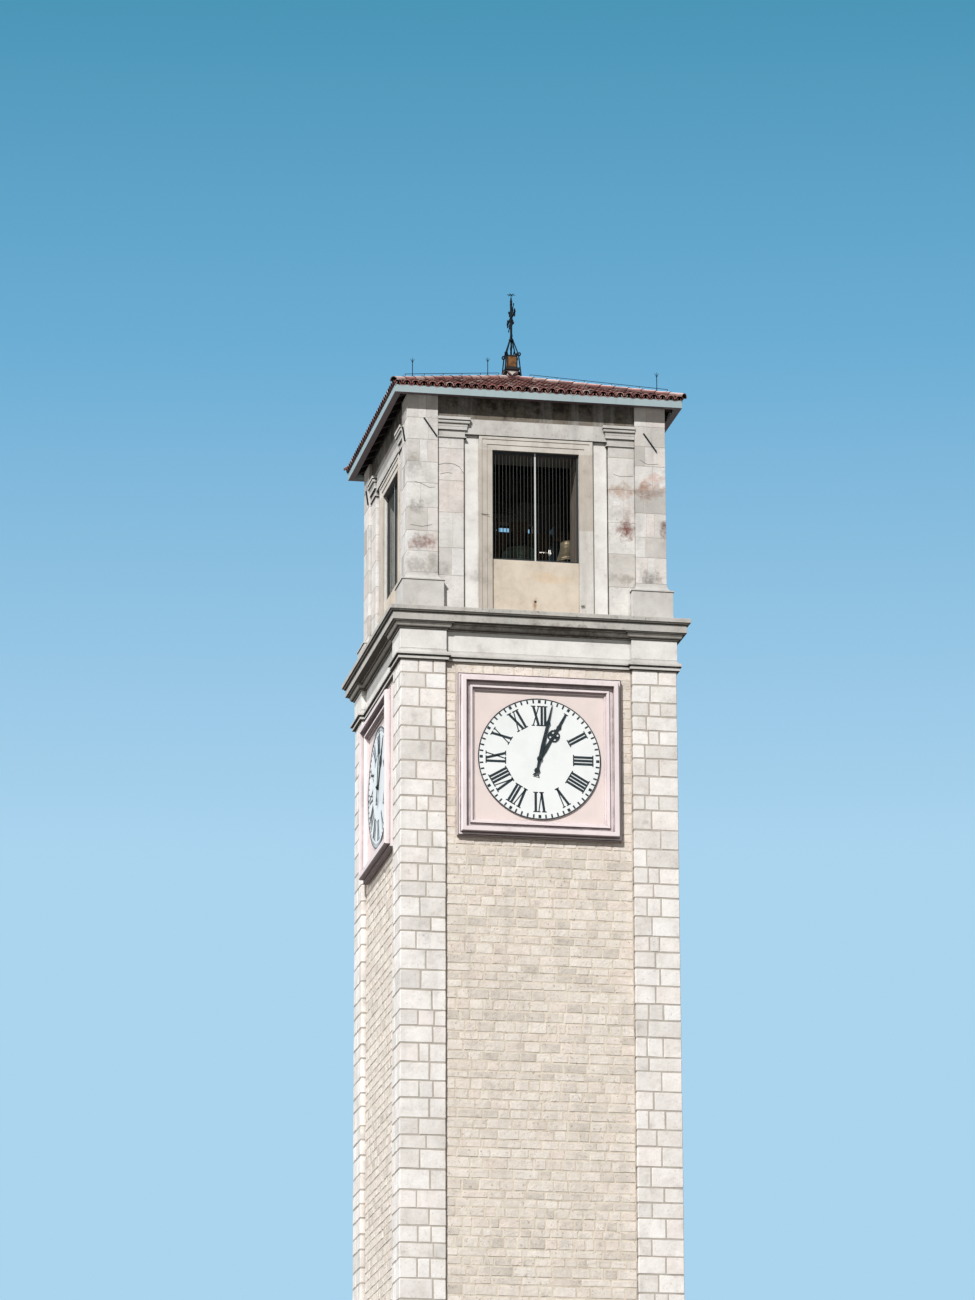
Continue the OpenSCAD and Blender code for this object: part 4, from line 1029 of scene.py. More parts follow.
class TOWER_OT_clocks(Operator):
    """Paints the clock surrounds, sets numerals and minute marks on the dials and cuts the hands"""

    bl_idname = "tower.clocks"
    bl_label = "Clocks"

    def execute(self, context):
        clock = context.scene.tower_clock
        bpy.ops.mesh.primitive_cube_add(size=1)
        cube = take(bpy.context.active_object)
        self.figures(clock, cube)
        self.rims(clock)
        self.beads(clock)
        self.seams(cube)
        finish_node("clock_surrounds", "mauve", 0.006)
        finish_node("clock_panels", "pink")
        finish_node("clock_dials", "enamel")
        finish_node("hand_spindles", "hands")
        for side in SIDES:
            for kind in HANDS:
                self.hand(side, kind)
        return {"FINISHED"}

    def figures(self, clock, cube):
        """The numerals, upright towards the middle, and the sixty marks round them, on the four dials."""
        bars = []
        for hour, letters in enumerate(NUMERALS):
            turn = Matrix.Rotation(math.radians(-30 * hour), 4, "Z")
            bars += [turn @ bar for bar in numeral(letters, clock)]
        for minute in range(60):
            turn = Matrix.Rotation(math.radians(-6 * minute), 4, "Z")
            tall, wide = MINUTE_MARK if minute % 5 else HOUR_MARK
            r = clock.minute_r
            bars.append(turn @ stroke((0, r - tall / 2), (0, r + tall / 2), wide, clock.paint))
        stack = Stack()
        for turn in TURNS:
            side = on_side(turn, DIAL_FACE, DIAL_Z)
            stack.put(placed(cube[0], [side @ bar for bar in bars]), cube[1], 0.5)
        ride(stack.build("dial_figures"), "figures", slot="hand_iron")

    def rims(self, clock):
        """The white rim that widens each dial, with a round black edge."""
        bpy.ops.mesh.primitive_torus_add(
            major_radius=clock.rim_out, minor_radius=RIM_TUBE, major_segments=128, minor_segments=6
        )
        edge = take(bpy.context.active_object)
        inner, front = DIAL_R - RIM_LAP, 0.001
        section = [(inner, -RIM_DEPTH), (inner, front), (clock.rim_out, front), (clock.rim_out, -RIM_DEPTH)]
        rim = take(spun("rim", section + section[:1], 128))
        stack = Stack()
        for turn in TURNS:
            side = on_side(turn, DIAL_FACE, DIAL_Z)
            stack.put(placed(rim[0], [side]), rim[1], 0.5)
            stack.put(placed(edge[0], [side]), edge[1], 0.5, slot=1)
        ride(stack.build("dial_rims"), ["enamel", "figures"], slot="dial_enamel")

    def beads(self, clock):
        """The inner moulding of each surround, which stands proud between two hollows."""
        outer, panel = clock.bead_r + clock.bead / 2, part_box("clock_panels")[1].x
        inner = outer - clock.bead
        top = clock.bead_proud
        section = [
            (outer, 0.0), (outer, top - 0.012), (outer - 0.008, top), (inner + 0.010, top),
            (inner, top - 0.016), (inner - 0.012, top * 0.45), (inner - 0.012, 0.0),
        ]
        corners = [(1, 1), (-1, 1), (-1, -1), (1, -1)]
        points = np.array([(x * r, y * r, z) for x, y in corners for r, z in section])
        n = len(section)
        faces = []
        for i in range(4):
            j = (i + 1) % 4
            faces += [(n * i + k, n * j + k, n * j + (k + 1) % n, n * i + (k + 1) % n) for k in range(n)]
        stack = Stack()
        stack.put(placed(points, [on_side(turn, panel, CLOCK_Z) for turn in TURNS]), faces, 0.5)
        ride(stack.build("surround_beads"), "mauve", slot="mauve_render")

    def seams(self, cube):
        """The painted shadow of the open seam round the outer fillet of each surround."""
        fillet = WALL_FACE + FILLET_SHARE * (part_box("clock_surrounds")[1].x - WALL_FACE)
        r = CLOCK_HALF - SEAM_IN
        corners = [(-r, r), (r, r), (r, -r), (-r, -r), (-r, r)]
        lines = [stroke(a, b, SEAM_W, LINE_T) for a, b in zip(corners, corners[1:])]
        stack = Stack()
        for turn in TURNS:
            side = on_side(turn, fillet, CLOCK_Z)
            stack.put(placed(cube[0], [side @ line for line in lines]), cube[1], 0.5)
        ride(stack.build("surround_seam_shadows"), "cracks", slot="mauve_render")

    def hand(self, side, kind):
        """One cut steel hand on its hub, in its CAD hand's plane and at its angle."""
        name = side + "_" + kind + "_hand"
        low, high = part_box(name)
        near = low if side in ("right", "back") else -high
        plane = near.x if side in ("left", "right") else near.y
        stack = Stack()
        for depth, outline in HANDS[kind]["plates"]:
            points, faces = plate_of(outline, depth)
            stack.put([points], faces, 0.5)
        for depth, (x, y), outer, inner in HANDS[kind]["rings"]:
            points, faces = ring_of(x, y, outer, inner, depth)
            stack.put([points], faces, 0.5)
        # The hand is drawn upright, then turned to its time and set on its dial
        at_time = Matrix.Rotation(math.radians(-HANDS[kind]["angle"]), 4, "Z")
        place = on_side(SIDES[side], plane, DIAL_Z) @ at_time
        stack.points = list(placed(np.concatenate(stack.points), [place]))
        stack.tones = [np.concatenate(stack.tones)]
        ride(stack.build(name + "_cut"), "hands", name, body=name, slot="hand_iron")


# Belfry

# Radius and spacing of the window bars, and how far they lie in from the front of their frame
BAR_R = 0.0045
BAR_SPACING = 0.074
BAR_IN = 0.015
# Painted shadows of the cracks and holes of the front: the face's distance from the axis, the width, then points to
# the right and up
CRACKS = [
    (PILASTER_FACE, 0.007, [(-2.01, 34.02), (-1.86, 34.06), (-1.70, 34.05), (-1.58, 33.99), (-1.50, 33.86)]),
    (PILASTER_FACE, 0.006, [(-1.98, 33.82), (-1.84, 33.86), (-1.73, 33.85)]),
    (BELFRY_HALF, 0.006, [(-2.52, 33.62), (-2.38, 33.58), (-2.20, 33.50), (-2.09, 33.52)]),
    (BELFRY_HALF, 0.006, [(2.14, 34.34), (2.30, 34.25), (2.52, 34.27)]),
    (PILASTER_FACE, 0.006, [(1.60, 34.02), (1.75, 33.98), (2.01, 34.00)]),
    (BELFRY_HALF, 0.006, [(-2.60, 32.70), (-2.36, 32.67), (-2.16, 32.72)]),
    (SURROUND_FACE, 0.010, [(-1.14, 33.03), (-0.97, 33.02)]),
    (PARAPET_FACE, 0.045, [(-0.035, 31.26), (0.010, 31.26)]),
    (SURROUND_FACE, 0.024, [(0.91, 31.19), (0.985, 31.20)]),
]


class TOWER_OT_belfry(Operator):
    """Lays the belfry's piers and pilasters and finishes its windows, screens and bells"""

    bl_idname = "tower.belfry"
    bl_label = "Belfry"

    def execute(self, context):
        stone = context.scene.tower_stone
        rng = np.random.default_rng(31)
        piers = corner_masonry(
            "belfry_pier_blocks", BELFRY_HALF, BELFRY_HALF - BELFRY_INNER, (BELFRY_FOOT, WALL_TOP),
            (stone.belfry_course, stone.pier_course_spread), stone.fine_joint, stone.fine_depth, FINE_EDGE,
            FINE_JITTER, rng,
        )
        ride(piers, ["high_ashlar", "pale_mortar"], "belfry_corner_piers", slot="quoin_stone")
        ride(self.pilasters(stone, rng), ["high_ashlar", "pale_mortar"], "belfry_pilasters", slot="dressed_stone")
        finish_node("belfry_pier_bases", "dressed", 0.01)
        finish_node("pilaster_capitals", "dressed", 0.005)
        finish_node("belfry_jambs", "pale", 0.006)
        finish_node("belfry_lintels", "band", 0.006)
        finish_node("window_surrounds", "warm", 0.005)
        finish_node("parapets", "parapet")
        finish_node("belfry_floor", "timber")
        finish_node("screen_frames", "screen", 0.003)
        finish_node("tie_anchors", "iron", 0.003)
        finish_node("bell_frame", "steel", 0.003)
        self.screens()
        self.hammer()
        self.cracks()
        for name, segments in (("large_bell", 72), ("small_bell", 56)):
            self.bell(name, segments)
            self.headstock(name)
        return {"FINISHED"}

    def pilasters(self, stone, rng):
        """Blocks of the two pilasters on each side, as wide as the pilaster, with fine joints."""
        unit, plain = block_unit(FINE_EDGE, open_back=True), block_unit(PLAIN_EDGE)
        gap, back = stone.fine_joint / 2, stone.fine_depth
        inner = BELFRY_INNER - stone.pilaster_w
        stack = Stack()
        for turn in TURNS:
            for left, right in ((-BELFRY_INNER, -inner), (inner, BELFRY_INNER)):
                lows, highs = [], []
                z_lines = course_lines(LEDGE_Z, PILASTER_TOP, stone.pilaster_course, 0.12, rng)
                for z0, z1 in zip(z_lines, z_lines[1:]):
                    split = [left, right]
                    # About one course in three is two stones
                    if rng.random() < 0.3:
                        split.insert(1, left + stone.pilaster_w * rng.uniform(0.35, 0.65))
                    lows += [(x, -PILASTER_FACE, z0 + gap) for x in split[:-1]]
                    highs += [(x, -BELFRY_INNER, z1 - gap) for x in split[1:]]
                copies = fitted(unit, lows, highs, FINE_JITTER, rng)
                stack.put(turned(copies, -turn), unit[1], rng.random(len(copies)))
                low = (left + back, back - PILASTER_FACE, LEDGE_Z)
                high = (right - back, -BELFRY_INNER, PILASTER_TOP)
                stack.put(turned(fitted(plain, [low], [high]), -turn), plain[1], 0.5, slot=1)
        return stack.build("pilaster_blocks")

    def hammer(self):
        """The pale case of the striking hammer, on a black bracket up the frame between the bells."""
        block = block_unit(0.01)
        truss = (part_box("large_bell")[1].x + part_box("small_bell")[0].x) / 2
        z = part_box("large_bell_headstock")[0].z - 0.16
        # A tray with a small case at each end
        boxes = [
            ((truss - 0.30, -0.06, z - 0.02), (truss - 0.03, 0.06, z + 0.02)),
            ((truss - 0.28, -0.04, z + 0.02), (truss - 0.22, 0.04, z + 0.08)),
            ((truss - 0.10, -0.05, z + 0.02), (truss - 0.04, 0.05, z + 0.07)),
        ]
        lows, highs = zip(*boxes)
        stack = Stack()
        stack.put(fitted(block, lows, highs), block[1], 0.5)
        bracket = fitted(block, [(truss - 0.064, 0.055, z - 0.20)], [(truss + 0.020, 0.075, z + 0.24)])
        stack.put(bracket, block[1], 0.5, slot=1)
        ride(stack.build("hammer_case"), ["enamel", "iron"], slot="white_metal")

    def cracks(self):
        """Painted shadows of hairline cracks and weep holes of the front: thin dark lines that follow points on a
        face.
        """
        bpy.ops.mesh.primitive_cube_add(size=1)
        cube = take(bpy.context.active_object)
        bars = []
        for face, wide, points in CRACKS:
            side = on_side(SIDES["front"], face + 0.0005)
            bars += [side @ stroke(a, b, wide, LINE_T) for a, b in zip(points, points[1:])]
        stack = Stack()
        stack.put(placed(cube[0], bars), cube[1], 0.5)
        ride(stack.build("hairline_crack_shadows"), "cracks", slot="dressed_stone")

    def screens(self):
        """Thin bars up each window, on both sides of its post."""
        bpy.ops.mesh.primitive_cylinder_add(vertices=6, radius=BAR_R, depth=1.0)
        bar = take(bpy.context.active_object)
        stack = Stack()
        low, high = SCREEN_LOW.z, SCREEN_HIGH.z
        tall = Matrix.Diagonal((1, 1, high - low, 1))
        for turn in TURNS:
            side = Matrix.Rotation(math.radians(turn), 4, "Z")
            places = [(i * BAR_SPACING, SCREEN_LOW.y + BAR_IN, (low + high) / 2) for i in range(-11, 12) if i]
            stack.put(placed(bar[0], [side @ Matrix.Translation(place) @ tall for place in places]), bar[1], 0.5)
        ride(stack.build("screen_bars"), "bars", slot="white_metal")

    def bell(self, name, segments):
        """A cast bell with its lip, waist and shoulder mouldings, a crown with six loops and a clapper."""
        low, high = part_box(name)
        mouth, height = (high.x - low.x) / 2, high.z - low.z
        middle = (low.x + high.x) / 2
        wall = 0.12 * mouth
        crown = 0.95 * height

        def radius(t):
            """Outside radius at a share of the way from the mouth up to the crown."""
            swell = 0.006 * sum(
                math.sqrt(max(0.0, 1 - ((t - at) / 0.014) ** 2)) for at in (0.05, 0.19, 0.225, 0.66, 0.70, 0.84)
            )
            lip = 0.03 * max(0.0, 0.05 - t) / 0.05 + 0.03 * math.exp(-(((t - 0.115) / 0.02) ** 2))
            return mouth * (0.575 + 0.42 * (1 - t) ** 2.4 + swell - lip)

        # The outline goes up the outside, over the shoulder to the crown's middle, and down the inside
        outline = [(mouth * 0.90, 0.0)] + [(radius(i / 100), i / 100 * crown) for i in range(91)]
        top = radius(0.9)
        turns = [math.radians(9 * i) for i in range(1, 11)]
        outline += [(top - (top - 0.3 * mouth) * (1 - math.cos(a)), crown * (0.9 + 0.1 * math.sin(a))) for a in turns]
        outline += [(0.0, crown), (0.0, crown - wall)]
        outline += [(radius(t) - wall, t * crown) for t in (0.88, 0.75, 0.6, 0.45, 0.3, 0.15, 0.05)]
        outline.append((mouth * 0.90, 0.0))
        body = spun(name + "_body", outline, segments)
        body.location = (middle, 0, low.z)
        parts = [body]
        for step in range(3):
            bpy.ops.mesh.primitive_torus_add(
                location=(middle, 0, low.z + crown), rotation=(math.pi / 2, 0, math.radians(60 * step)),
                major_radius=0.10 * mouth, minor_radius=0.03 * mouth, major_segments=24, minor_segments=8,
            )
            parts.append(bpy.context.active_object)
        piece = joined(name + "_cast", parts)
        bpy.ops.object.shade_smooth_by_angle(angle=math.radians(30))
        ride(piece, "bronze" if name == "large_bell" else "bright_bronze", name, body=name, slot="bronze")
        bpy.ops.mesh.primitive_cylinder_add(
            vertices=12, radius=0.035 * mouth, depth=crown * 0.86, location=(middle, 0, low.z + crown * 0.45)
        )
        rod = bpy.context.active_object
        bpy.ops.mesh.primitive_uv_sphere_add(
            segments=20, ring_count=12, radius=0.13 * mouth, location=(middle, 0, low.z + crown * 0.08)
        )
        clapper = joined(name + "_clapper", [rod, bpy.context.active_object])
        ride(clapper, "iron", body=name, slot="iron")

    def headstock(self, name):
        """Iron straps that hold the bell up to its headstock."""
        finish_node(name + "_headstock", "oak", 0.006)
        beam_low, beam_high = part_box(name + "_headstock")
        bell_low, bell_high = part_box(name)
        middle, half = (bell_low.x + bell_high.x) / 2, (bell_high.x - bell_low.x) / 2
        wide, thick = 0.05, 0.008
        side = beam_high.y + thick / 2
        tall = beam_high.z - bell_high.z + 0.02
        strap = Matrix.Diagonal((wide, thick, tall, 1))
        cap = Matrix.Diagonal((wide, 2 * side, thick, 1))
        bpy.ops.mesh.primitive_cube_add(size=1)
        cube = take(bpy.context.active_object)
        matrices = []
        for x in (middle - 0.24 * half, middle + 0.24 * half):
            for y in (-side, side):
                matrices.append(Matrix.Translation((x, y, beam_high.z - tall / 2 + thick)) @ strap)
            matrices.append(Matrix.Translation((x, 0, beam_high.z + thick / 2)) @ cap)
        stack = Stack()
        stack.put(placed(cube[0], matrices), cube[1], 0.5)
        ride(stack.build(name + "_straps"), "iron", body=name, slot="iron")
        if name == "large_bell":
            self.ringing_wheel(beam_low, beam_high, middle)

    def ringing_wheel(self, beam_low, beam_high, middle):
        """The wheel that turns the large bell, the block that balances it and the cheeks on both its sides."""
        block = block_unit(0.012)
        stack = Stack()
        low, high = (middle - 0.19, -0.075, beam_high.z), (middle + 0.19, 0.075, beam_high.z + 0.24)
        stack.put(fitted(block, [low], [high]), block[1], 0.4)
        cheek = [
            (0.20, 0.0), (0.62, 0.0), (0.62, -0.42), (0.42, -0.44), (0.40, -0.30), (0.38, -0.17), (0.34, -0.09),
            (0.22, -0.03),
        ]
        thick = 0.12
        upright = Matrix.Translation((middle, thick / 2, beam_low.z + 0.004)) @ Matrix.Rotation(math.pi / 2, 4, "X")
        for sign in (-1, 1):
            points, faces = plate_of([(sign * across, down) for across, down in cheek], thick)
            stack.put(placed(points, [upright]), faces, 0.3)
        ride(stack.build("headstock_block"), "oak", body="large_bell", slot="headstock_wood")
        x, z = middle - (beam_high.x - beam_low.x) / 2 + 0.22, beam_low.z + 0.16
        # The wheel's rim, with a groove for the rope round its edge
        inner, outer, half = 0.33, 0.38, 0.02
        section = [
            (inner, -half), (outer, -half), (outer, -0.008), (outer - 0.015, 0.0), (outer, 0.008), (outer, half),
            (inner, half),
        ]
        wheel = spun("large_bell_wheel", section + section[:1], 64)
        wheel.rotation_euler = (0, math.pi / 2, 0)
        wheel.location = (x, 0, z)
        parts = [wheel]
        for angle in range(0, 180, 45):
            bpy.ops.mesh.primitive_cube_add(
                size=1, location=(x, 0, z), rotation=(math.radians(angle), 0, 0), scale=(0.03, 0.68, 0.05)
            )
            parts.append(bpy.context.active_object)
        ride(joined("large_bell_wheel", parts), "oak", body="large_bell", slot="headstock_wood")


# Roof


def coppo(long, wide, narrow, thick):
    """A clay tile of half-round section, its wide end at the origin and its length along +Y."""
    bpy.ops.mesh.primitive_cone_add(
        vertices=16, radius1=wide / 2, radius2=narrow / 2, depth=long, end_fill_type="NOTHING",
        location=(0, long / 2, 0), rotation=(math.radians(-90), 0, 0),
    )
    piece = bpy.context.active_object
    settle(piece)
    start_edit(piece)
    bpy.ops.mesh.select_all(action="SELECT")
    bpy.ops.mesh.bisect(plane_co=(0, 0, 0), plane_no=(0, 0, -1), clear_outer=True)
    end_edit()
    shell = piece.modifiers.new("clay", "SOLIDIFY")
    shell.thickness = thick
    shell.offset = -1
    bpy.ops.object.modifier_apply(modifier=shell.name)
    return take(piece)


class TOWER_OT_roof(Operator):
    """Lays channel and cover tiles up each slope, hip tiles over the corners and the eaves beneath"""

    bl_idname = "tower.roof"
    bl_label = "Roof"

    def execute(self, context):
        roof = context.scene.tower_roof
        rng = np.random.default_rng(41)
        across = 2 * TILE_HALF / roof.tiles_across
        unit = coppo(roof.tile_length, across * 0.93, across * 0.76, roof.tile_t)
        for turn in TURNS:
            stack = Stack()
            for channel in (True, False):
                copies = placed(unit[0], self.rows(roof, across, channel, rng))
                stack.put(copies, unit[1], rng.random(len(copies)))
            slope = stack.build("roof_tiles_" + str(turn))
            # The slope is cut off along its two hips
            start_edit(slope)
            for sign in (-1, 1):
                bpy.ops.mesh.select_all(action="SELECT")
                bpy.ops.mesh.bisect(
                    plane_co=(0, 0, 0), plane_no=(sign, 1, 0), use_fill=True, clear_outer=True, clear_inner=False
                )
            end_edit()
            slope.rotation_euler.z = math.radians(turn)
            settle(slope)
            ride(slope, "clay", *(["roof_tiles"] if turn == 0 else []), slot="roof_tile")
        self.hips(roof, rng)
        self.gutter_bead()
        finish_node("eaves_gutter", "gutter", 0.002)
        for node in ("wall_plate", "rafters", "hip_rafters", "roof_boards"):
            finish_node(node, "timber")
        return {"FINISHED"}

    def rows(self, roof, across, channel, rng):
        """Matrices of one layer of a slope's tiles, before it turns to its side. Channels lie on their backs and
        covers lie over the gaps between them, both in rows up the slope, and each tile sits a little askew."""
        step = roof.tile_length - roof.tile_lap
        tilt = math.atan(2 * roof.tile_t / roof.tile_length)
        lean = Matrix.Rotation(roof.pitch - tilt, 4, "X")
        rise = math.tan(roof.pitch)
        courses = int(TILE_HALF / math.cos(roof.pitch) / step) + 1
        count = roof.tiles_across
        lift = across * 0.40
        if channel:
            count += 1
            lift = across * 0.47 + 0.01
            on_back = Matrix.Rotation(math.pi, 4, "X") @ Matrix.Translation((0, -roof.tile_length, 0))
        matrices = []
        for i in range(count):
            x = (i - (count - 1) / 2) * across
            for course in range(courses):
                y = -TILE_HALF + course * step * math.cos(roof.pitch)
                if abs(x) > -y + 0.25 * across:
                    continue
                askew = Matrix.Rotation(rng.normal(0, 0.012), 4, "Z")
                tile = Matrix.Translation((x, y, DECK_POINT + y * rise + lift)) @ lean @ askew
                matrices.append(tile @ on_back if channel else tile)
        return matrices

    def gutter_bead(self):
        """The turned-up lip along the gutter's outer edge."""
        out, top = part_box("eaves_gutter")[1].x - 0.001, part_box("eaves_gutter")[1].z
        sheet = block_unit(0.003)
        lip = fitted(sheet, [(-out, -out, top - 0.012)], [(out, -out + 0.012, top + 0.050)])
        roll = fitted(sheet, [(-out, -out, top + 0.038)], [(out, -out + 0.022, top + 0.052)])
        stack = Stack()
        for turn in TURNS:
            for bar in (lip, roll):
                stack.put(turned(bar, -turn), sheet[1], 0.5)
        ride(stack.build("gutter_lip"), "gutter", slot="gutter_metal")

    def hips(self, roof, rng):
        """Half-round tiles up the four hips, each over the one below, bedded in mortar."""
        unit = coppo(roof.tile_length, roof.hip_tile_w, roof.hip_tile_w * 0.82, roof.tile_t)
        bed = block_unit(0.004)
        step = roof.tile_length - roof.tile_lap
        foot = TILE_HALF * math.sqrt(2) / math.cos(hip_pitch(roof)) + 0.01
        stack = Stack()
        for turn in TURNS:
            matrices = []
            at = foot
            while at > 0.12:
                askew = Matrix.Rotation(rng.normal(0, 0.010), 4, "Z")
                matrices.append(on_hip(roof, turn, at) @ askew)
                at -= step
            copies = placed(unit[0], matrices)
            stack.put(copies, unit[1], rng.uniform(0.2, 0.95, len(copies)))
            mortar = fitted(bed, [(-0.075, 0.0, -0.07)], [(0.075, foot - 0.3, 0.010)])[0]
            stack.put(placed(mortar, [on_hip(roof, turn, foot - 0.2)]), bed[1], 0.5, slot=1)
        ride(stack.build("hip_tile_rows"), ["limed_clay", "chalk"], "hip_tiles", slot="roof_tile")


def hip_pitch(roof):
    """Slope of a hip, which is less than the roof's own."""
    return math.atan(math.tan(roof.pitch) / math.sqrt(2))


def on_hip(roof, turn, down, lift=0.012):
    """Matrix to a hip at a distance down from the roof's point: Y up the hip, Z square out of it."""
    out = Vector((math.cos(math.radians(turn - 45)), math.sin(math.radians(turn - 45)), 0))
    fall = hip_pitch(roof)
    along = -(out * math.cos(fall) - Vector((0, 0, math.sin(fall))))
    up = out * math.sin(fall) + Vector((0, 0, math.cos(fall)))
    at = Vector((0, 0, TILE_POINT)) - along * down + up * lift
    turn_matrix = Matrix((along.cross(up), along, up)).transposed().to_4x4()
    return Matrix.Translation(at) @ turn_matrix


def rods(stack, pairs, radius, sides=6):
    """Round bars from point to point."""
    bpy.ops.mesh.primitive_cylinder_add(vertices=sides, radius=1.0, depth=1.0)
    unit = take(bpy.context.active_object)
    matrices = []
    for start, end in pairs:
        start, end = Vector(start), Vector(end)
        turn = (end - start).to_track_quat("Z", "Y").to_matrix().to_4x4()
        size = Matrix.Diagonal((radius, radius, (end - start).length, 1))
        matrices.append(Matrix.Translation((start + end) / 2) @ turn @ size)
    stack.put(placed(unit[0], matrices), unit[1], 0.5)


class TOWER_OT_finial(Operator):
    """Finishes the box, legs and wrought iron cross on the roof's point, and the lightning conductor"""

    bl_idname = "tower.finial"
    bl_label = "Finial"

    def execute(self, context):
        roof = context.scene.tower_roof
        finish_node("finial_box", "rusty", 0.003)
        finish_node("finial_legs", "iron")
        finish_node("roof_cross", "iron")
        finish_node("lightning_rods", "iron")
        self.base()
        self.cross()
        self.conductor(roof)
        return {"FINISHED"}

    def base(self):
        """Pale stone with a black plate on it, and black rims round the box."""
        low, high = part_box("finial_base")
        box_low, box_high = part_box("finial_box")
        skirt_z = box_low.z - 0.055
        plate_z = skirt_z - 0.055
        block = block_unit(0.012)
        stack = Stack()
        half = box_high.x
        core = half + 0.010
        stack.put(fitted(block, [(-core, -core, low.z)], [(core, core, plate_z)]), block[1], 0.5)
        sheet = block_unit(0.003)
        skirt = fitted(sheet, [(-half, -half, skirt_z)], [(half, half, box_low.z)])
        stack.put(skirt, sheet[1], 0.5, slot=2)
        eave = half + 0.05
        boxes = [((-eave, -eave, plate_z), (eave, eave, skirt_z))]
        # Rims round the box's foot and top, and an angle up each of its corners
        rim, out = 0.014, half + 0.012
        for z in (skirt_z, box_high.z - 2 * rim):
            top = z + 2 * rim
            boxes += [
                ((-out, -out, z), (out, -half, top)), ((-out, half, z), (out, out, top)),
                ((-out, -half, z), (-half, half, top)), ((half, -half, z), (out, half, top)),
            ]
        for x in (-1, 1):
            for y in (-1, 1):
                low_x, high_x = sorted((x * out, x * (half - rim)))
                low_y, high_y = sorted((y * out, y * (half - rim)))
                boxes.append(((low_x, low_y, skirt_z), (high_x, high_y, box_high.z)))
        lows, highs = zip(*boxes)
        stack.put(fitted(sheet, lows, highs), sheet[1], 0.5, slot=1)
        ride(stack.build("finial_stone_and_plate"), ["chalk", "plate", "rusty"], "finial_base", slot="lead_sheet")

    def cross(self):
        """Scrolls and rings of the cross, in the plane of its arms, and scrolls where its legs bend."""
        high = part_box("roof_cross")[1]
        arm = high.y
        centre = high.z - 0.09 - arm
        parts = []
        # Middle, radius and thickness of each ring
        rings = [(0, centre, 0.105, 0.013)]
        for y in (-1, 1):
            for z in (-1, 1):
                rings.append((y * 0.135, centre + z * 0.135, 0.052, 0.013))
            rings.append((y * (arm - 0.07), centre + 0.045, 0.036, 0.011))
            rings.append((y * (arm - 0.07), centre - 0.045, 0.036, 0.011))
            rings.append((y * 0.045, centre + arm - 0.10, 0.036, 0.011))
            rings.append((y * 0.055, centre - arm + 0.02, 0.045, 0.012))
            rings.append((y * 0.05, centre - arm - 0.22, 0.038, 0.011))
        for y, z, major, minor in rings:
            bpy.ops.mesh.primitive_torus_add(
                location=(0, y, z), rotation=(0, math.pi / 2, 0), major_radius=major, minor_radius=minor,
                major_segments=28, minor_segments=8,
            )
            parts.append(bpy.context.active_object)
        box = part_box("finial_box")[1]
        bars = Stack()
        rods(bars, [((0, 0, box.z + 0.33), (0, 0, centre + arm * 0.9))], 0.024, 10)
        rods(bars, [((0, -arm * 0.86, centre), (0, arm * 0.86, centre))], 0.021, 10)
        # Spikes that lean out round the box's top
        crest = [(x * 0.09 * k, y * 0.09) for k in (1, 0.33) for x in (-1, 1) for y in (-1, 1)]
        crest += [(y, x) for x, y in crest if abs(x) < 0.05]
        rods(bars, [((x, y, box.z - 0.01), (x * 1.25, y * 1.25, box.z + 0.075)) for x, y in crest], 0.011)
        # Rays of the star on the cross's tip
        tip = Vector((0, 0, high.z - 0.01))
        angles = [math.radians(angle) for angle in range(0, 360, 60)]
        rods(bars, [(tip, tip + 0.085 * Vector((math.cos(a), math.sin(a), 0))) for a in angles], 0.007)
        parts.append(bars.build("cross_bars"))
        reach = box.x * math.sqrt(2) + 0.055
        for turn in TURNS:
            a = math.radians(turn + 45)
            bpy.ops.mesh.primitive_torus_add(
                location=(reach * math.cos(a), reach * math.sin(a), box.z + 0.01), rotation=(math.pi / 2, 0, a),
                major_radius=0.034, minor_radius=0.014, major_segments=24, minor_segments=8,
            )
            parts.append(bpy.context.active_object)
        ride(joined("cross_scrolls", parts), "iron", slot="iron")

    def conductor(self, roof):
        """The wire up each hip on its stand-offs, and the prongs of the lightning rods."""
        stack = Stack()
        posts, wires, prongs = [], [], []
        far = TILE_HALF * math.sqrt(2) * 0.9 / math.cos(hip_pitch(roof))
        count = 6
        for turn in TURNS:
            tops = []
            for i in range(count):
                down = far - (far - 0.45) * i / (count - 1)
                foot = on_hip(roof, turn, down, 0.09).translation
                top = on_hip(roof, turn, down, 0.145).translation
                posts.append((foot, top))
                tops.append(top)
            wires += list(zip(tops, tops[1:]))
        # The rods' places, as shares of the roof's half width: one near each corner and one by the point
        spots = [(x * 0.848, y * 0.848) for x in (-1, 1) for y in (-1, 1)] + [(-0.207, -0.207)]
        for x, y in spots:
            x, y = x * TILE_HALF, y * TILE_HALF
            tip = Vector((x, y, TILE_POINT - abs(x) * math.tan(roof.pitch) + 0.45))
            for angle in (20, 140, 260):
                a = math.radians(angle)
                end = tip + Vector((0.045 * math.cos(a), 0.045 * math.sin(a), 0.03))
                prongs.append((tip - Vector((0, 0, 0.06)), end))
        rods(stack, posts, 0.006)
        rods(stack, wires, 0.006)
        rods(stack, prongs, 0.005)
        ride(stack.build("conductor_wire"), "iron", slot="iron")


# Stage


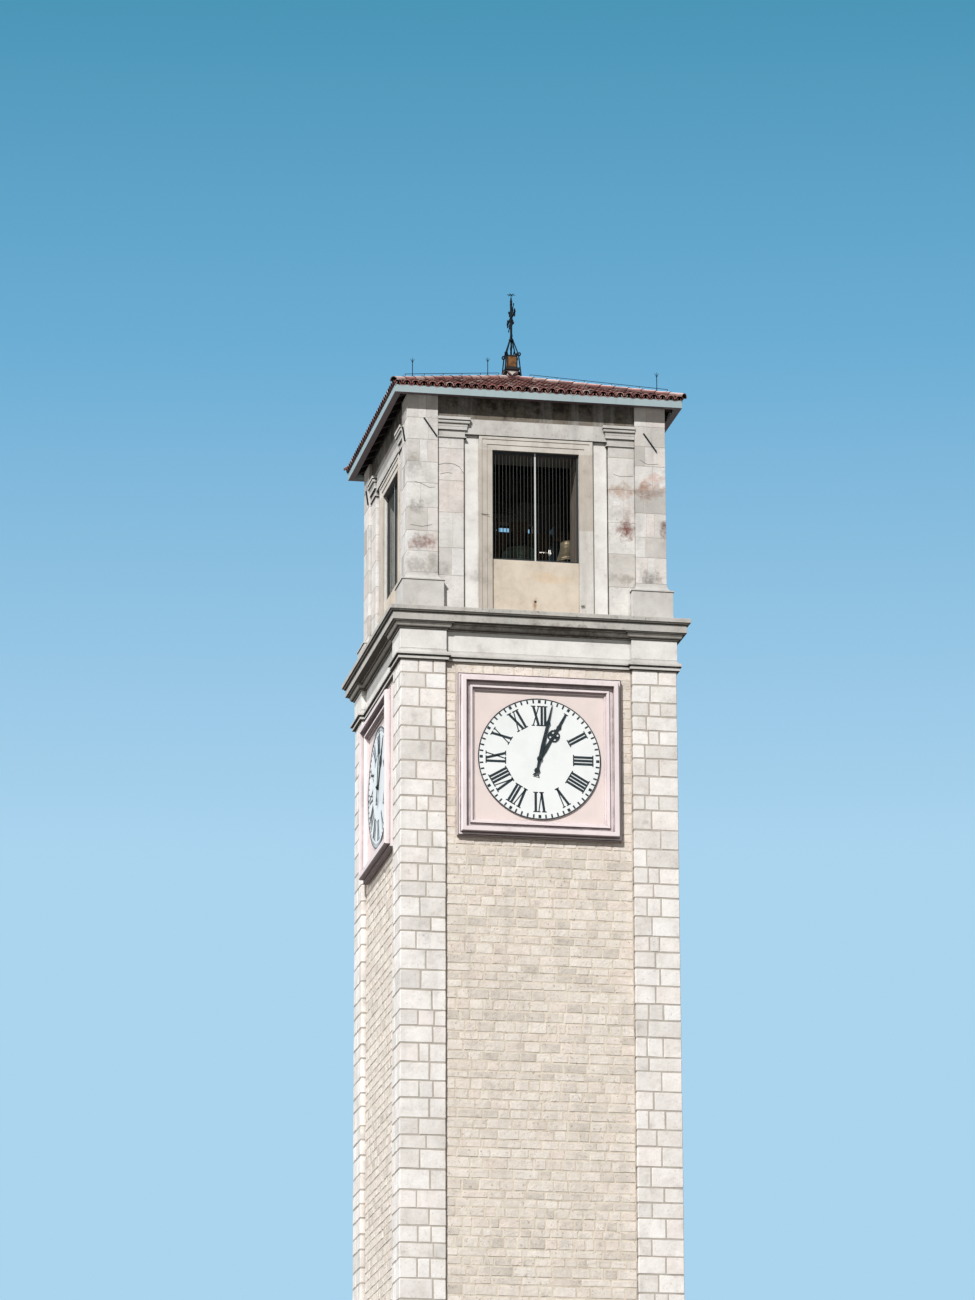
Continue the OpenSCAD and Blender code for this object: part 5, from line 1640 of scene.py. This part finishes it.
class TOWER_OT_stage(Operator):
    """Sets the floor, the soft lights and the camera that looks up from eye height"""

    bl_idname = "tower.stage"
    bl_label = "Stage"

    def execute(self, context):
        colours = context.scene.tower_colours
        bpy.ops.mesh.primitive_plane_add(size=1400, location=(0, 0, -0.005))
        floor = bpy.context.active_object
        floor.name = "floor"
        floor.data.materials.append(self.floor_paint())
        self.sun(-29, 35.6, 3.5, 0.8, (1.0, 0.99, 0.975))
        self.sun(-90, 36, 1.5, 3, (0.95, 0.97, 1.0))
        self.bell_light()
        self.sky(context, colours)
        bpy.ops.object.camera_add(
            location=(-19.553, -100.447, 1.317),
            rotation=[math.radians(angle) for angle in (106.158, 0.145, -10.686)],
        )
        camera = bpy.context.active_object
        camera.data.lens = 143.27
        camera.data.sensor_width = 36
        camera.data.clip_end = 2000
        context.scene.camera = camera
        context.scene.view_settings.view_transform = "Standard"
        return {"FINISHED"}

    def sun(self, turn, height, energy, softness, tint):
        """A sun lamp from a turn off the front and a height over the ground, both in degrees."""
        towards = Matrix.Rotation(math.radians(turn), 3, "Z") @ Vector((0, -1, math.tan(math.radians(height))))
        bpy.ops.object.light_add(type="SUN", rotation=towards.to_track_quat("Z", "Y").to_euler())
        lamp = bpy.context.active_object
        lamp.data.energy = energy
        lamp.data.angle = math.radians(softness)
        lamp.data.color = tint

    def bell_light(self):
        """A narrow soft lamp for the small bell and the hammer, which only these two take light and shade from."""
        low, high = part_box("small_bell")
        bell = (low + high) / 2
        at = bell + Vector((-6.5, -6.0, -1.5))
        bpy.ops.object.light_add(type="SPOT", location=at, rotation=(at - bell).to_track_quat("Z", "Y").to_euler())
        lamp = bpy.context.active_object
        lit = bpy.data.collections.new("small_bell_lamp")
        for name in ("small_bell_cast", "hammer_case"):
            lit.objects.link(bpy.data.objects[name])
        lamp.light_linking.receiver_collection = lit
        lamp.light_linking.blocker_collection = lit
        lamp.data.energy = 5000
        lamp.data.spot_size = math.radians(13)
        lamp.data.spot_blend = 0.6
        lamp.data.shadow_soft_size = 0.25
        lamp.data.color = (1.0, 0.96, 0.88)

    def floor_paint(self):
        """Pale matt floor, open from below so that a low camera still sees the tower."""
        material = bpy.data.materials.new("pale_floor")
        material.use_nodes = True
        tree = material.node_tree
        tree.nodes.clear()
        paint = add(tree, "BsdfDiffuse", {"Color": linear("a19e99")})[0]
        clear = add(tree, "BsdfTransparent")[0]
        below = add(tree, "NewGeometry")["Backfacing"]
        mixed = add(tree, "MixShader", [below, paint, clear])[0]
        add(tree, "OutputMaterial", {"Surface": mixed})
        return material

    def sky(self, context, colours):
        """Even soft light all round; the camera and mirror-like surfaces see the blue backdrop."""
        world = bpy.data.worlds.new("studio")
        context.scene.world = world
        world.use_nodes = True
        tree = world.node_tree
        tree.nodes.clear()
        light = add(tree, "Background", {"Color": linear("e9f1fa"), "Strength": 0.13})[0]
        up = add(tree, "SeparateXYZ", [add(tree, "TexCoord")["Generated"]])["Z"]
        blue = add(tree, "ValToRGB", [up], stops=[
            (0.24, list(colours.sky_low)), (0.335, list(colours.sky_middle)), (0.40, list(colours.sky_high)),
        ])["Color"]
        seen = add(tree, "Background", {"Color": blue, "Strength": 1.0})[0]
        rays = add(tree, "LightPath")
        straight = rays["Is Camera Ray"]
        for kind in ("Is Glossy Ray", "Is Transmission Ray"):
            straight = add(tree, "Math", [straight, rays[kind]], operation="MAXIMUM")[0]
        mixed = add(tree, "MixShader", [straight, light, seen])[0]
        add(tree, "OutputWorld", {"Surface": mixed})


class TOWER_PT_panel(Panel):
    """Lists the tower's operators and the sizes and colours that they use"""

    bl_label = "Clock Tower"
    bl_idname = "TOWER_PT_panel"
    bl_space_type = "VIEW_3D"
    bl_region_type = "UI"
    bl_category = "Tower"

    def draw(self, context):
        for operator in OPERATORS:
            self.layout.operator(operator.bl_idname)
        for group in GROUPS:
            settings = getattr(context.scene, group)
            for name in settings.__annotations__:
                self.layout.prop(settings, name)


GROUPS = {
    "tower_stone": TowerStone, "tower_roof": TowerRoof, "tower_clock": TowerClock, "tower_colours": TowerColours,
}
OPERATORS = [
    TOWER_OT_shaft, TOWER_OT_entablature, TOWER_OT_clocks, TOWER_OT_belfry, TOWER_OT_roof, TOWER_OT_finial,
    TOWER_OT_stage,
]


def register():
    for item in [*GROUPS.values(), *OPERATORS, TOWER_PT_panel]:
        bpy.utils.register_class(item)
    for name, group in GROUPS.items():
        setattr(bpy.types.Scene, name, PointerProperty(type=group))


def unregister():
    for name in GROUPS:
        delattr(bpy.types.Scene, name)
    for item in reversed([*GROUPS.values(), *OPERATORS, TOWER_PT_panel]):
        bpy.utils.unregister_class(item)


def main():
    register()
    make_materials(bpy.context.scene.tower_colours)
    bpy.ops.tower.shaft()
    bpy.ops.tower.entablature()
    bpy.ops.tower.clocks()
    bpy.ops.tower.belfry()
    bpy.ops.tower.roof()
    bpy.ops.tower.finial()
    bpy.ops.tower.stage()


if __name__ == "__main__":
    main()
